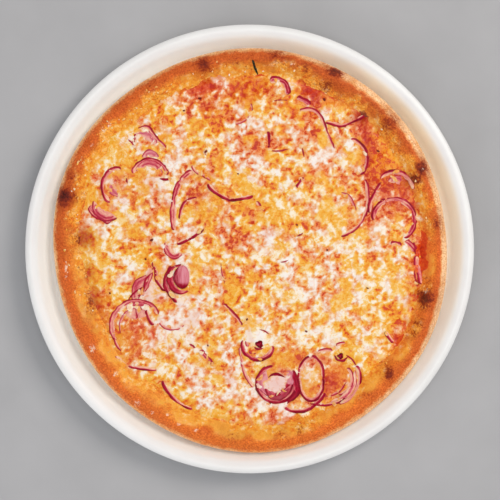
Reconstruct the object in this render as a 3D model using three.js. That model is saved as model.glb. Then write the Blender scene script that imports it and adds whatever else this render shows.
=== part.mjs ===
// A baked onion pizza lying on a round white pizza plate.
//
// The plate stands on its foot ring at z = 0, with its centre on the Z axis. The pizza lies in the
// plate's well. It is built up as a cook builds it: dough with a raised rim, tomato sauce, grated
// cheese that has melted to one uneven sheet, and red onion cut in rings and strips, laid one after
// another so that each rests on what lies under it. Lengths are in millimetres, angles in degrees,
// counted anticlockwise from +X as seen from above.
import * as THREE from 'three';
import { mergeVertices } from 'three/addons/utils/BufferGeometryUtils.js';

// Plate
const PLATE_RADIUS = 160;
const PLATE_HEIGHT = 21.5;
const PLATE_SEGMENTS = 72;
const WELL_TOP = 7; // height of the well's upper face above the table
const WELL_RADIUS = 138; // where the well starts to turn up into the wall
const LIP_INSET = 4.5; // from the plate's edge to the crown of its rolled lip
const FOOT_RADIUS = 104;
const FOOT_WIDTH = 5;
const FOOT_LIFT = 2.6; // clearance of the underside inside the foot ring

// Dough
const PIZZA_RADIUS = 142.8;
const PIZZA_SEGMENTS = 84;
const RIM_WIDTH = 19; // from the outside of the crust to its inner toe
const RIM_HEIGHT = 15;
const FLOOR_THICKNESS = 4;

// Layers on the dough
const GAP = 0.3; // kept between pieces that touch
const SAUCE_THICKNESS = 1.2;
const CHEESE_THICKNESS = 2.4;
const CHEESE_INSET = 1.2; // the cheese stops this far inside the sauce's edge
const CHEESE_LUMP = 0.7;

// Onion
const ONION_HEIGHT = 1.9;
const ONION_CLEARANCE = 0.35; // from a strip to what it rests on
const STEP_LENGTH = 3.8; // length of one straight stretch of a bent strip

// How the crust's outside departs from a circle: waves round it, then cosine and sine parts.
const OUTLINE_WAVES = [
  [1, 1.0, -0.4],
  [2, -1.6, -1.1],
  [3, -0.6, 0.6],
  [4, 0, -0.6],
  [6, -0.4, -0.3],
];

// Stretches where the rim is narrower (negative) or broader: direction, change of width, spread.
const RIM_CHANGES = [
  [-2, -4, 14],
  [-32, -2, 8],
  [-52, 3, 12],
  [-120, 2.5, 14],
  [-165, 2.5, 12],
  [78, -3, 12],
  [44, -1.5, 12],
  [18, -2.5, 12],
];

// Bays where the cheese stops short and the sauce shows: direction, depth, spread.
const SAUCE_BAYS = [
  [0, 8, 9],
  [-31, 8, 6],
  [-125, 6, 7],
  [-163, 7, 9],
  [114, 7, 9],
  [78, 4, 6],
  [42, 14, 9],
  [17, 7, 9],
];

// Blisters on the rim: direction, distance in from the crust's outside, radius, height.
const BLISTERS = [
  [104, 9, 6, 1.0],
  [82, 5, 5, 0.8],
  [64, 5, 6, 0.9],
  [42, 11, 6, 1.2],
  [24, 8, 6, 1.4],
  [8, 9, 5, 0.8],
  [-16, 13, 8, 1.6],
  [-26, 12, 7, 1.0],
  [-42, 12, 5, 0.9],
  [164, 6, 7, 1.5],
  [156, 7, 5, 0.8],
  [-90, 10, 7, 0.8],
  [-112, 9, 8, 0.9],
  [-138, 10, 8, 1.0],
];

// Large soft drops of cheese that stand above the rest: x, y, half width, half depth, height.
const CHEESE_DROPS = [
  [6, -61, 10, 5.5, 1.3],
  [-31, 76, 8, 7, 0.8],
  [-23, 104, 4, 5, 0.9],
  [52, 96, 5, 6, 0.9],
  [110, -25, 8, 9, 0.8],
  [67, -62, 6, 5, 0.9],
];

// Onion strips bent along a free line: name, width, then the x and y of points on the line.
const STRIPS = [
  ['onion_arch_northwest', 2.6, [[-82, 76], [-79.5, 84], [-74, 87], [-69.5, 82.5], [-66, 77.5], [-60, 72.5]]],
  ['onion_strip_northwest', 2.2, [[-41, 60], [-38, 55.5], [-32, 52.5], [-27, 49.5]]],
  ['onion_fan_west', 4.6, [[-114, 31], [-111, 26.5], [-105.5, 23], [-99, 20]]],
  ['onion_hook_north', 3.4, [[14.5, 121], [21, 120.5], [25.5, 118], [27.5, 110.5]]],
  ['onion_sliver_north', 1.8, [[13.2, 84], [13.4, 78], [13.2, 72]]],
  ['onion_curl_centre', 2.6, [[-30, 46.5], [-27, 43], [-21.5, 39], [-15, 36], [-8.5, 36], [2.4, 38]]],
  ['onion_tail_centre', 2.2, [[4.8, 34], [6.8, 30.5], [9, 26.5]]],
  ['onion_crescent_west', 3.6, [[-41.5, 56], [-48, 49.5], [-52, 42], [-54, 31.5], [-54.5, 21], [-53.5, 13]]],
  ['onion_inner_crescent_west', 2.4, [[-37.8, 36.5], [-45, 33.7], [-48.4, 28], [-49.8, 21]]],
  ['onion_stick_centre', 2.2, [[-52, 3.5], [-46.5, 6], [-41.5, 8.7], [-37, 11.5], [-33, 14.3]]],
  ['onion_stick_south', 2.4, [[-18.5, -39.5], [-14, -44.5], [-9, -49.7], [-5.5, -54.7]]],
  ['onion_bit_northeast', 3, [[34, 108.5], [38.5, 106.4], [43.5, 103.5]]],
  ['onion_long_arc_northeast', 2.2, [[36, 99.5], [45, 99.5], [51, 94], [55.5, 82], [60.5, 71]]],
  ['onion_stick_northeast', 2.8, [[54.5, 90.5], [58, 90.5], [66, 88.5], [74, 92], [82, 95.5]]],
  ['onion_long_bend_east', 2.4, [[82.3, 50], [84, 43.5], [84, 30], [77, 16.5], [65.5, 9]]],
  ['onion_inner_bend_east', 2.2, [[94.5, 47.5], [89.5, 38.8], [86.6, 33], [85.4, 26]]],
  ['onion_bit_east', 2.4, [[101, 3.4], [104.5, 4.2], [108.5, 2.2]]],
  ['onion_band_east', 4.2, [[111.5, 5.6], [115, 2.5], [118.5, -1.5]]],
  ['onion_strip_east', 2.8, [[119.2, -5], [119.6, -12], [121.5, -18], [122.8, -25]]],
  ['onion_sliver_east', 1.8, [[65, 40], [71, 37.3], [74.3, 31], [75.8, 26.5]]],
  ['onion_sliver_centre', 2, [[34, 43.8], [36.4, 47.6], [39, 51]]],
  ['onion_sliver_southeast', 2, [[97.4, -59], [100, -63.2], [103, -67]]],
  ['onion_inner_strip_southwest', 2.6, [[-73.6, -43.5], [-71.6, -49.7], [-68.5, -54.2]]],
  ['onion_core_strip_southwest', 2, [[-82.6, -42.5], [-82, -46], [-81.7, -50]]],
  ['onion_inner_petal_southwest', 2.4, [[-69.5, -9.5], [-66.6, -15.2], [-65.8, -22.4], [-60.5, -30]]],
  ['onion_dark_curve_southwest', 2.9, [[-56, -12], [-60, -22.5], [-59, -28], [-56, -33], [-51.5, -38]]],
  ['onion_strip_far_southwest', 2.2, [[-96, -77], [-89.6, -81.5], [-82.4, -84.2], [-66.6, -86.4]]],
  ['onion_curve_south_rim', 2.6, [[-62.3, -94.3], [-59.4, -100], [-55, -106], [-50, -111], [-41, -114.5]]],
  ['onion_wedge_south', 3.4, [[-35.7, -72.7], [-31.3, -77.7], [-26.3, -83.5]]],
  ['onion_pale_curve_south', 2, [[-7, -70.5], [-5.5, -78.4], [-4.4, -85], [-1.9, -91.4], [3, -99]]],
  ['onion_dark_band_south', 3.4, [[15.5, -104], [22, -102.6], [26, -99.5], [28, -95.5]]],
  ['onion_outer_curve_south', 2.4, [[54, -103], [46, -111.5], [38.5, -115.5], [31, -115.5], [25, -112.8]]],
  ['onion_bit_southeast', 2.2, [[62, -69], [66, -67.6], [71.5, -67.7]]],
  ['onion_short_arc_southeast', 2.2, [[48.5, -74], [53.5, -72.7], [59.2, -72.8]]],
];

// Onion pieces that are broad in the middle and pointed at both ends.
const PETALS = [
  ['onion_petal_centre', 7.5, [[-60.5, 4.5], [-57.8, 0], [-54.5, -3.8], [-48.6, -4.2]]],
  ['onion_petal_southwest', 6.4, [[-81.5, -34], [-78, -29.5], [-73.8, -21.5], [-69.8, -13]]],
];

// Onion rings and parts of rings: name, width, centre, half sizes in x and y, from and to where.
const ARCS = [
  ['onion_arc_northwest', 2.6, [-71.6, 51], [12.2, 12.2], 8, 165],
  ['onion_ring_west', 2.6, [-94, 44.5], [10.8, 12.9], 80, 238],
  ['onion_ring_north', 2, [-10.5, 102], [11.5, 11.5], -110, 10],
  ['onion_arc_east', 2.8, [68.6, 64], [15, 15], -45, 75],
  ['onion_upper_ring_east', 2.6, [104, 41.5], [13.6, 13.6], 5, 140],
  ['onion_ring_east', 3.2, [103.2, 20.8], [14.6, 14.6], -60, 180],
  ['onion_ring_southwest', 3.2, [-81, -55.4], [17.6, 17.6], 29, 214],
  ['onion_brown_arc_southwest', 2.6, [-55, -46.8], [10, 10], 200, 330],
  ['onion_cup_south', 2.8, [6, -67.7], [10.8, 10.8], 168, 350],
  ['onion_ring_south', 2.8, [19, -96.4], [13.2, 12.4], 100, 372],
  ['onion_oval_ring_south', 2.6, [44.1, -92.8], [8.4, 15], 0, 360],
  ['onion_outer_ring_southeast', 2.6, [60.4, -92.8], [18.2, 18.2], -78, 30],
  ['onion_inner_ring_southeast', 2.2, [62.5, -92.8], [10.6, 10.6], -90, 45],
];

// Small closed rings from the heart of an onion: name, centre, radius, thickness.
const CORES = [
  ['onion_core_south', [7.1, -68], 2.2, 0.75],
  ['onion_core_southeast', [65, -76.5], 1.7, 0.7],
];

// The whole inner bud of an onion, lying on its side.
const BUD_CENTRE = [-48.4, -20.2];
const BUD_HALF_SIZE = [5.8, 8.4];
const BUD_HEIGHT = 4;

// A dried herb needle that lies across the rim.
const HERB_ENDS = [[1.7, 137.5], [6, 124.6]];
const HERB_WIDTH = 1.8;
const HERB_HEIGHT = 1.3;

function radians(degrees) {
  return degrees * Math.PI / 180;
}

// A smooth hump of height 1 at offset 0 that has all but gone at twice its spread.
function hump(offset, spread) {
  return Math.exp(-((offset / spread) ** 2));
}

// The difference between two directions, from -180 to 180.
function turnBetween(a, b) {
  return ((a - b) % 360 + 540) % 360 - 180;
}

// A repeatable random value from -1 to 1 for a whole-numbered place.
function latticeValue(i, j, seed) {
  let h = Math.imul(i, 374761393) ^ Math.imul(j, 668265263) ^ Math.imul(seed, 974634777);
  h = Math.imul(h ^ (h >>> 13), 1274126177);
  return ((h ^ (h >>> 16)) >>> 0) / 2147483648 - 1;
}

// Smooth uneven relief from about -1 to 1, with lumps of the given size.
function lumps(x, y, size, seed) {
  const i = Math.floor(x / size);
  const j = Math.floor(y / size);
  const u = THREE.MathUtils.smoothstep(x / size - i, 0, 1);
  const v = THREE.MathUtils.smoothstep(y / size - j, 0, 1);
  const low = THREE.MathUtils.lerp(latticeValue(i, j, seed), latticeValue(i + 1, j, seed), u);
  const high = THREE.MathUtils.lerp(latticeValue(i, j + 1, seed), latticeValue(i + 1, j + 1, seed), u);
  return THREE.MathUtils.lerp(low, high, v);
}

function outerRadius(angle) {
  let radius = PIZZA_RADIUS;
  for (const [waves, cosine, sine] of OUTLINE_WAVES) {
    radius += cosine * Math.cos(waves * radians(angle)) + sine * Math.sin(waves * radians(angle));
  }
  return radius;
}

function rimWidth(angle) {
  let width = RIM_WIDTH;
  for (const [direction, change, spread] of RIM_CHANGES) {
    width += change * hump(turnBetween(angle, direction), spread);
  }
  return width;
}

function toeRadius(angle) {
  return outerRadius(angle) - rimWidth(angle);
}

function cheeseRadius(angle) {
  let radius = toeRadius(angle) - CHEESE_INSET;
  for (const [direction, depth, spread] of SAUCE_BAYS) {
    radius -= depth * hump(turnBetween(angle, direction), spread);
  }
  const x = radius * Math.cos(radians(angle));
  const y = radius * Math.sin(radians(angle));
  return radius - 1.1 - 1.1 * lumps(x, y, 9, 3);
}

// Keeps only the places of a geometry's corners, with those that meet joined.
function welded(geometry) {
  geometry.deleteAttribute('normal');
  geometry.deleteAttribute('uv');
  return mergeVertices(geometry, 1e-4);
}

// A solid of revolution about Z, from [radius, height] corners that start and end on the axis.
function turned(corners, segments) {
  const profile = corners.map(([radius, height]) => new THREE.Vector2(radius, height));
  return welded(new THREE.LatheGeometry(profile, segments).rotateX(Math.PI / 2));
}

// Moves each corner of a geometry to where the given function puts it.
function moulded(geometry, place) {
  const position = geometry.attributes.position;
  const point = new THREE.Vector3();
  for (let i = 0; i < position.count; i += 1) {
    point.fromBufferAttribute(position, i);
    place(point);
    position.setXYZ(i, point.x, point.y, point.z);
  }
  return geometry;
}

function solidMesh(name, geometry, colour, roughness) {
  geometry.computeVertexNormals();
  const material = new THREE.MeshStandardMaterial({ color: colour, roughness, metalness: 0 });
  const mesh = new THREE.Mesh(geometry, material);
  mesh.name = name;
  return mesh;
}

function curvePoints(corners, divisions) {
  const curve = new THREE.SplineCurve(corners.map(([r, z]) => new THREE.Vector2(r, z)));
  return curve.getPoints(divisions).map((point) => [point.x, point.y]);
}

// The plate: a flat well on a foot ring, and a wall that sweeps up to a rolled lip.
function plate() {
  const crown = PLATE_RADIUS - LIP_INSET;
  const footInside = FOOT_RADIUS - FOOT_WIDTH;
  const underside = curvePoints(
    [[WELL_RADIUS, 3.6], [146, 6.8], [152, 14], [PLATE_RADIUS - 1, PLATE_HEIGHT - 3.2]],
    5,
  );
  const inside = curvePoints(
    [[crown, PLATE_HEIGHT], [151.5, 19.2], [147.5, 12.6], [143.5, 8.3], [WELL_RADIUS, WELL_TOP]],
    6,
  );
  const corners = [
    [0, FOOT_LIFT],
    [footInside, FOOT_LIFT],
    [footInside + 1, 0],
    [FOOT_RADIUS, 0],
    [FOOT_RADIUS + 1.5, 2.8],
    ...underside,
    [PLATE_RADIUS, PLATE_HEIGHT - 1.6],
    [PLATE_RADIUS - 1.8, PLATE_HEIGHT - 0.3],
    ...inside,
    [0, WELL_TOP],
  ];
  return solidMesh('plate', turned(corners, PLATE_SEGMENTS), 0xf3f0ec, 0.15);
}

// How far the crust's skin swells at a place, from slow unevenness and from blisters.
function crustSwell(x, y) {
  const angle = THREE.MathUtils.radToDeg(Math.atan2(y, x));
  let swell = 0.55 * lumps(x, y, 17, 11) + 0.35 * lumps(x, y, 8, 12);
  for (const [direction, inset, size, height] of BLISTERS) {
    const radius = outerRadius(direction) - inset;
    const dx = x - radius * Math.cos(radians(direction));
    const dy = y - radius * Math.sin(radians(direction));
    swell += height * hump(Math.hypot(dx, dy), size);
  }
  return swell * THREE.MathUtils.smoothstep(Math.hypot(x, y), toeRadius(angle), toeRadius(angle) + 5);
}

// The dough: a flat floor with a puffed rim. Its base is at z = 0.
function crust() {
  const radius = PIZZA_RADIUS;
  const toe = radius - RIM_WIDTH;
  const rim = curvePoints(
    [
      [radius - 10, 0],
      [radius - 3.2, 1.9],
      [radius, 7.2],
      [radius - 3, 12.6],
      [radius - 8.5, RIM_HEIGHT],
      [radius - 14, 11.8],
      [toe + 1.5, 5.6],
      [toe - 2, FLOOR_THICKNESS],
    ],
    13,
  );
  const corners = [[0, 0], ...rim, [0, FLOOR_THICKNESS]];
  const heart = RIM_HEIGHT / 2;
  const geometry = moulded(turned(corners, PIZZA_SEGMENTS), (point) => {
    const nominal = Math.hypot(point.x, point.y);
    if (nominal < 1) return;
    const angle = THREE.MathUtils.radToDeg(Math.atan2(point.y, point.x));
    const inset = radius - nominal;
    const edge = toe - 2;
    const wanted = nominal > edge
      ? outerRadius(angle) - inset * (rimWidth(angle) + 2) / (RIM_WIDTH + 2)
      : nominal * (toeRadius(angle) - 2) / edge;
    point.x *= wanted / nominal;
    point.y *= wanted / nominal;
    if (nominal > edge && point.z > FLOOR_THICKNESS + 0.5) {
      const swell = crustSwell(point.x, point.y);
      const lift = THREE.MathUtils.clamp((point.z - FLOOR_THICKNESS) / heart, 0, 1);
      point.z += swell * lift;
    }
  });
  return solidMesh('crust', geometry, 0xd9772f, 0.7);
}

// The tomato sauce: an even layer that reaches the toe of the rim.
function sauce() {
  const top = SAUCE_THICKNESS;
  const radius = PIZZA_RADIUS - RIM_WIDTH;
  const corners = [[0, 0], [radius - 2.4, 0], [radius - 1.6, top * 0.6], [radius - 2.2, top], [0, top]];
  const geometry = moulded(turned(corners, PIZZA_SEGMENTS), (point) => {
    const nominal = Math.hypot(point.x, point.y);
    if (nominal < 1) return;
    const angle = THREE.MathUtils.radToDeg(Math.atan2(point.y, point.x));
    const scale = toeRadius(angle) / radius;
    point.x *= scale;
    point.y *= scale;
  });
  return solidMesh('sauce', geometry, 0xc93a16, 0.35);
}

// Height of the cheese's upper face above its base, without the rounding at its edge.
function cheeseTop(x, y) {
  let height = CHEESE_THICKNESS + CHEESE_LUMP * lumps(x, y, 24, 21) + 0.4 * CHEESE_LUMP * lumps(x, y, 13, 22);
  for (const [cx, cy, halfWidth, halfDepth, rise] of CHEESE_DROPS) {
    height += rise * hump(Math.hypot((x - cx) / halfWidth, (y - cy) / halfDepth), 1);
  }
  return height;
}

// The melted cheese: a lumpy sheet with an uneven edge.
function cheese() {
  const rings = 12;
  const corners = [[0, 0], [1, 0], [1, 0.35]];
  for (let ring = rings; ring >= 0; ring -= 1) {
    corners.push([Math.sin(ring / rings * Math.PI / 2) * 0.985, 1]);
  }
  const geometry = moulded(turned(corners, PIZZA_SEGMENTS), (point) => {
    const share = Math.hypot(point.x, point.y);
    const angle = THREE.MathUtils.radToDeg(Math.atan2(point.y, point.x));
    const scale = share > 0 ? cheeseRadius(angle) : 0;
    point.x *= scale;
    point.y *= scale;
    const edge = THREE.MathUtils.clamp((1 - share) / 0.05, 0, 1);
    const rounding = 0.55 + 0.45 * Math.sqrt(edge * (2 - edge));
    point.z *= cheeseTop(point.x, point.y) * (point.z === 1 ? rounding : 1);
  });
  return solidMesh('cheese', geometry, 0xf4cf93, 0.45);
}

// Height of the highest surface among the given meshes near a place, or the lowest height of all.
const raycaster = new THREE.Raycaster();
const down = new THREE.Vector3(0, 0, -1);
function restingHeight(laid, x, y, along, reach) {
  let height = 0;
  for (const forward of [-1, 0, 1]) {
    for (const aside of [-1, -0.4, 0.4, 1]) {
      const px = x + along.x * forward * STEP_LENGTH / 2 - along.y * aside * reach;
      const py = y + along.y * forward * STEP_LENGTH / 2 + along.x * aside * reach;
      raycaster.set(new THREE.Vector3(px, py, 60), down);
      const hits = raycaster.intersectObjects(laid);
      if (hits.length > 0) height = Math.max(height, hits[0].point.z);
    }
  }
  return height;
}

// The heights at which a bent strip rests at even steps along its line.
function restingLine(laid, line, steps, widthAt) {
  const heights = [];
  for (let step = 0; step <= steps; step += 1) {
    const share = step / steps;
    const point = line.getPointAt(share);
    const along = line.getTangentAt(share);
    heights.push(restingHeight(laid, point.x, point.y, along, widthAt(share) / 2 + 0.3));
  }
  return heights.map((height, i) => {
    const before = heights[Math.max(i - 1, 0)];
    const after = heights[Math.min(i + 1, steps)];
    return Math.max(height, (before + after) / 2) + ONION_CLEARANCE;
  });
}

// A strip of onion bent along a line, with a flat base, leaning sides and drawn-out ends.
function bentStrip(name, line, widthAt, heightAt, colour, laid) {
  const steps = Math.max(3, Math.round(line.getLength() / STEP_LENGTH));
  const base = restingLine(laid, line, steps, widthAt);
  const geometry = moulded(welded(new THREE.BoxGeometry(1, 1, 1, steps, 1, 1)), (point) => {
    const step = Math.round((point.x + 0.5) * steps);
    const share = step / steps;
    const centre = line.getPointAt(share);
    const along = line.getTangentAt(share);
    const upper = point.z > 0;
    const aside = point.y * widthAt(share) * (upper ? 0.62 : 1);
    point.set(
      centre.x - along.y * aside,
      centre.y + along.x * aside,
      base[step] + (upper ? heightAt(share) : 0),
    );
  });
  return solidMesh(name, geometry, colour, 0.35);
}

function freeLine(points) {
  return new THREE.SplineCurve(points.map(([x, y]) => new THREE.Vector2(x, y)));
}

function arcLine([x, y], [halfWidth, halfDepth], from, to) {
  return new THREE.EllipseCurve(x, y, halfWidth, halfDepth, radians(from), radians(to));
}

// Thickness of a strip along its length: nearly even, with the last part of each end drawn out.
function stripTaper(share) {
  return 0.45 + 0.55 * THREE.MathUtils.smoothstep(Math.min(share, 1 - share), 0, 0.16);
}

function petalTaper(share) {
  return 0.18 + 0.82 * Math.sin(Math.PI * share) ** 0.8;
}

function strip(name, width, line, taper, laid) {
  const widthAt = (share) => width * taper(share);
  const heightAt = (share) => ONION_HEIGHT * (0.5 + 0.5 * taper(share));
  return bentStrip(name, line, widthAt, heightAt, 0x8c2447, laid);
}

// A whole ring of onion, closed on itself.
function closedRing(name, width, centre, [halfWidth, halfDepth], laid) {
  const half = width / 2;
  const section = [[1 - half / 10, 0], [1 + half / 10, 0], [1 + half / 16, 1], [1 - half / 16, 1], [1 - half / 10, 0]];
  const steps = 22;
  const geometry = moulded(turned(section, steps), (point) => {
    const angle = Math.atan2(point.y, point.x);
    const offset = (Math.hypot(point.x, point.y) - 1) * 10;
    const outward = new THREE.Vector2(Math.cos(angle) / halfWidth, Math.sin(angle) / halfDepth).normalize();
    const x = centre[0] + halfWidth * Math.cos(angle);
    const y = centre[1] + halfDepth * Math.sin(angle);
    const along = new THREE.Vector2(-outward.y, outward.x);
    const base = restingHeight(laid, x, y, along, half + 0.3) + ONION_CLEARANCE;
    point.set(x + outward.x * offset, y + outward.y * offset, base + point.z * ONION_HEIGHT);
  });
  return solidMesh(name, geometry, 0x8c2447, 0.35);
}

// A small stiff piece rests level, on the highest place below it.
function levelRest(laid, [x, y], [halfWidth, halfDepth]) {
  let height = 0;
  for (const share of [0, 0.5, 1]) {
    for (let turn = 0; turn < 12; turn += 1) {
      const angle = radians(turn * 30);
      const px = x + share * halfWidth * Math.cos(angle);
      const py = y + share * halfDepth * Math.sin(angle);
      height = Math.max(height, restingHeight(laid, px, py, { x: 1, y: 0 }, 0.5));
    }
  }
  return height + ONION_CLEARANCE;
}

function core(name, centre, radius, thickness, laid) {
  const geometry = welded(new THREE.TorusGeometry(radius, thickness, 5, 12));
  const mesh = solidMesh(name, geometry, 0x4a1026, 0.4);
  const reach = radius + thickness;
  mesh.position.set(centre[0], centre[1], levelRest(laid, centre, [reach, reach]) + thickness);
  return mesh;
}

function bud(laid) {
  const geometry = moulded(welded(new THREE.SphereGeometry(1, 14, 8)), (point) => {
    point.x *= BUD_HALF_SIZE[0];
    point.y *= BUD_HALF_SIZE[1];
    point.z *= BUD_HEIGHT / 2;
  });
  const mesh = solidMesh('onion_bud', geometry, 0xc2768a, 0.35);
  mesh.position.set(...BUD_CENTRE, levelRest(laid, BUD_CENTRE, BUD_HALF_SIZE) + BUD_HEIGHT / 2);
  return mesh;
}

function pizza() {
  const group = new THREE.Group();
  const sauceMesh = sauce();
  sauceMesh.position.z = FLOOR_THICKNESS + GAP;
  const cheeseMesh = cheese();
  cheeseMesh.position.z = sauceMesh.position.z + SAUCE_THICKNESS + GAP;
  const laid = [];
  const lay = (mesh) => {
    mesh.updateMatrixWorld();
    laid.push(mesh);
    group.add(mesh);
  };
  lay(crust());
  lay(sauceMesh);
  lay(cheeseMesh);
  for (const [name, width, centre, halfSize, from, to] of ARCS) {
    if (to - from === 360) lay(closedRing(name, width, centre, halfSize, laid));
    else lay(strip(name, width, arcLine(centre, halfSize, from, to), stripTaper, laid));
  }
  for (const [name, width, points] of STRIPS) {
    lay(strip(name, width, freeLine(points), stripTaper, laid));
  }
  for (const [name, width, points] of PETALS) {
    lay(strip(name, width, freeLine(points), petalTaper, laid));
  }
  for (const [name, centre, radius, thickness] of CORES) {
    lay(core(name, centre, radius, thickness, laid));
  }
  lay(bud(laid));
  const herbWidth = (share) => HERB_WIDTH * petalTaper(share);
  const herbHeight = (share) => HERB_HEIGHT * petalTaper(share);
  lay(bentStrip('herb_needle', freeLine(HERB_ENDS), herbWidth, herbHeight, 0x2c3626, laid));
  return group;
}

const root = new THREE.Group();
root.add(plate());
const food = pizza();
food.position.z = WELL_TOP + GAP;
root.add(food);

export default root;
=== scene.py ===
"""A baked onion pizza in the well of a white porcelain pizza plate.

All shapes are worked out in millimetres, in the plate's frame: the plate stands on z = 0 with its
centre on the Z axis. The layers are laid as a cook lays them, from the plate up: dough, tomato
sauce, grated cheese that has melted to one uneven sheet, then the red onion. The tables were set
against the picture. Directions are in degrees, anticlockwise from +X.
"""
import math
from functools import lru_cache

import bmesh
import bpy
import numpy as np
from mathutils import Matrix, Vector


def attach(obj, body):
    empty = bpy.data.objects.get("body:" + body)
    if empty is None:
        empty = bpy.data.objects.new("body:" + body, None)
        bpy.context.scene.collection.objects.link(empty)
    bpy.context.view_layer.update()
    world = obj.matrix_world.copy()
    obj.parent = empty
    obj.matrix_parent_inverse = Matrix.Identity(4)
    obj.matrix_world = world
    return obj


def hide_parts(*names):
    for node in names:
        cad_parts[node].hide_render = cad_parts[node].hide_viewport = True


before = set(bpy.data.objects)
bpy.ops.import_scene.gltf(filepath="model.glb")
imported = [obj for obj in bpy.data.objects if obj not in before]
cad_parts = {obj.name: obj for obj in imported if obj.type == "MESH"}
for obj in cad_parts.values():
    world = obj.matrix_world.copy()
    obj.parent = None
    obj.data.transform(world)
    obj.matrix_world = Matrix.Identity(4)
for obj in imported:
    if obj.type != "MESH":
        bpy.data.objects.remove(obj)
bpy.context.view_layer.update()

MM = 0.001

# Plate
PLATE_RADIUS = 160
PLATE_HEIGHT = 21.5
WELL_TOP = 7
WELL_RADIUS = 138
LIP_CROWN = 155.5
FOOT_RADIUS = 104
FOOT_LIFT = 2.6

# The plate's section, from the middle of its underside out to the lip and back in: radius, height
PLATE_FOOT = [
    (0, FOOT_LIFT), (FOOT_RADIUS - 5.6, FOOT_LIFT), (FOOT_RADIUS - 5, 2), (FOOT_RADIUS - 4.5, 0.4),
    (FOOT_RADIUS - 4, 0), (FOOT_RADIUS, 0), (FOOT_RADIUS + 0.6, 0.4), (FOOT_RADIUS + 1, 2.2),
]
PLATE_UNDERSIDE = [(FOOT_RADIUS + 1.5, 2.8), (WELL_RADIUS, 3.6), (146, 6.8), (152, 14), (159, 18.3)]
PLATE_EDGE = [
    (159, 18.3), (PLATE_RADIUS, 19.9), (158.2, 21.2), (LIP_CROWN, PLATE_HEIGHT), (151.5, 19.2),
    (147.5, 12.6), (143.5, 8.3), (WELL_RADIUS, WELL_TOP),
]

# Dough. From SOFT_TOP up the rim's swelling is held back, so that it never passes TOP_LIMIT
PIZZA_RADIUS = 142.8
RIM_WIDTH = 19
RIM_REACH = 7
BASE_Z = 7.3
FLOOR_Z = 11.3
SOFT_TOP = 22.6
TOP_LIMIT = 23.4
SCORCH_REACH = 1.4

# The rim's section, from underneath out and over to the base: distance in from the edge, height
RIM_POINTS = [
    (10, 0), (3.2, 1.9), (0, 7.2), (2.9, 12.5), (7.8, 15), (12.6, 13.2), (17.6, 9), (22, 6), (26, 4),
]

# Sauce and cheese. They are worked out on a square grid before any piece is made
SAUCE_Z = 12.8
SAUCE_LOW = FLOOR_Z + 0.1
SAUCE_RADIUS = 126
CHEESE_Z = 15
CHEESE_LOW = SAUCE_Z - 0.8
CHEESE_REACH = 132
CHEESE_CELLS = 320
THREADS = 44
CRUMBS = 150
STREWN_RADIUS = 127
GRID_STEP = 0.5
GRID_REACH = 150

# Onion: softened in the oven, a slice slumps a little wider than its solid
ONION_HEIGHT = 1.8
PETAL_HEIGHT = 1.5
SLUMP = 1
BAR_SIDES = 24
BAR_STEP = 0.6
BUD_CENTRE = (-48.4, -20.2)
BUD_HALF_SIZE = (5.8, 8.4)
BUD_HEIGHT = 4

# The herb leaf that lies across the rim
LEAF_LINE = [(1.7, 137.5), (3.3, 131), (6, 124.6)]
LEAF_WIDTH = 2
LEAF_HEIGHT = 1.1

# Stage, in metres, and the camera's lens in millimetres. Lights: name, place, size, power, colour
FLOOR_HALF_SIZE = 3
FLOOR_DROP = 0.05 * MM
SENSOR_WIDTH = 36
LENS = 126
ROOM_COLOUR = "F6F6F8"
ROOM_LIGHT = 0.39
CAMERA_PLACE = (0.27 * MM, -0.75 * MM, 1.246 + PLATE_HEIGHT * MM)
LIGHTS = [
    ("window_light", (1.05, 0.75, 1.45), 0.9, 19, "FFF9F2"),
    ("overhead_panel", (0.1, -0.1, 1.9), 1.2, 9.5, "FFFFFF"),
    ("bounce_light", (-1.3, -1.2, 1), 1.6, 13, "FAFAFC"),
]

# How the crust's outside departs from a circle: waves round it, then cosine and sine parts
OUTLINE_WAVES = [
    (1, 1, -0.4), (2, -1.6, -1.1), (3, -0.6, 0.6), (4, 0, -0.6), (6, -0.4, -0.3),
]

# Stretches where the rim is narrower (negative) or broader: direction, change of width, spread
RIM_CHANGES = [
    (-2, -4, 14), (-32, -2, 8), (-52, 3, 12), (-120, 2.5, 14), (-165, 2.5, 12), (78, -3, 12),
    (44, -1.5, 12), (18, -2.5, 12),
]

# How red with sauce and oil the topping's edge is: direction, redness, spread
EDGE_TONES = [
    (0, 0.9, 11), (-20, 0.5, 9), (60, 0.5, 13), (90, 0.5, 12), (-60, 0.4, 10), (-33, 0.6, 6), (38, 0.3, 9),
    (-150, 0.25, 12),
]

# Stretches of the rim that took more colour in the oven, or less: direction, how much, spread
BROWN_STRETCHES = [
    (74, 0.85, 27), (38, 0.6, 14), (7, -0.5, 13), (150, 0.3, 14), (176, 0.35, 12), (-30, 0.35, 12),
    (108, 0.3, 10),
]

# Blisters on the rim: direction, distance in from the outside, radius, height
BLISTERS = [
    (104, 9, 6, 1), (82, 5, 5, 0.8), (64, 5, 6, 0.9), (42, 11, 6, 1.2), (24, 8, 6, 1.4), (8, 9, 5, 0.8),
    (-16, 13, 8, 1.6), (-26, 12, 7, 1), (-42, 12, 5, 0.9), (164, 6, 7, 1.5), (156, 7, 5, 0.8),
    (-90, 10, 7, 0.8), (-112, 9, 8, 0.9), (-138, 10, 8, 1),
]

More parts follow.
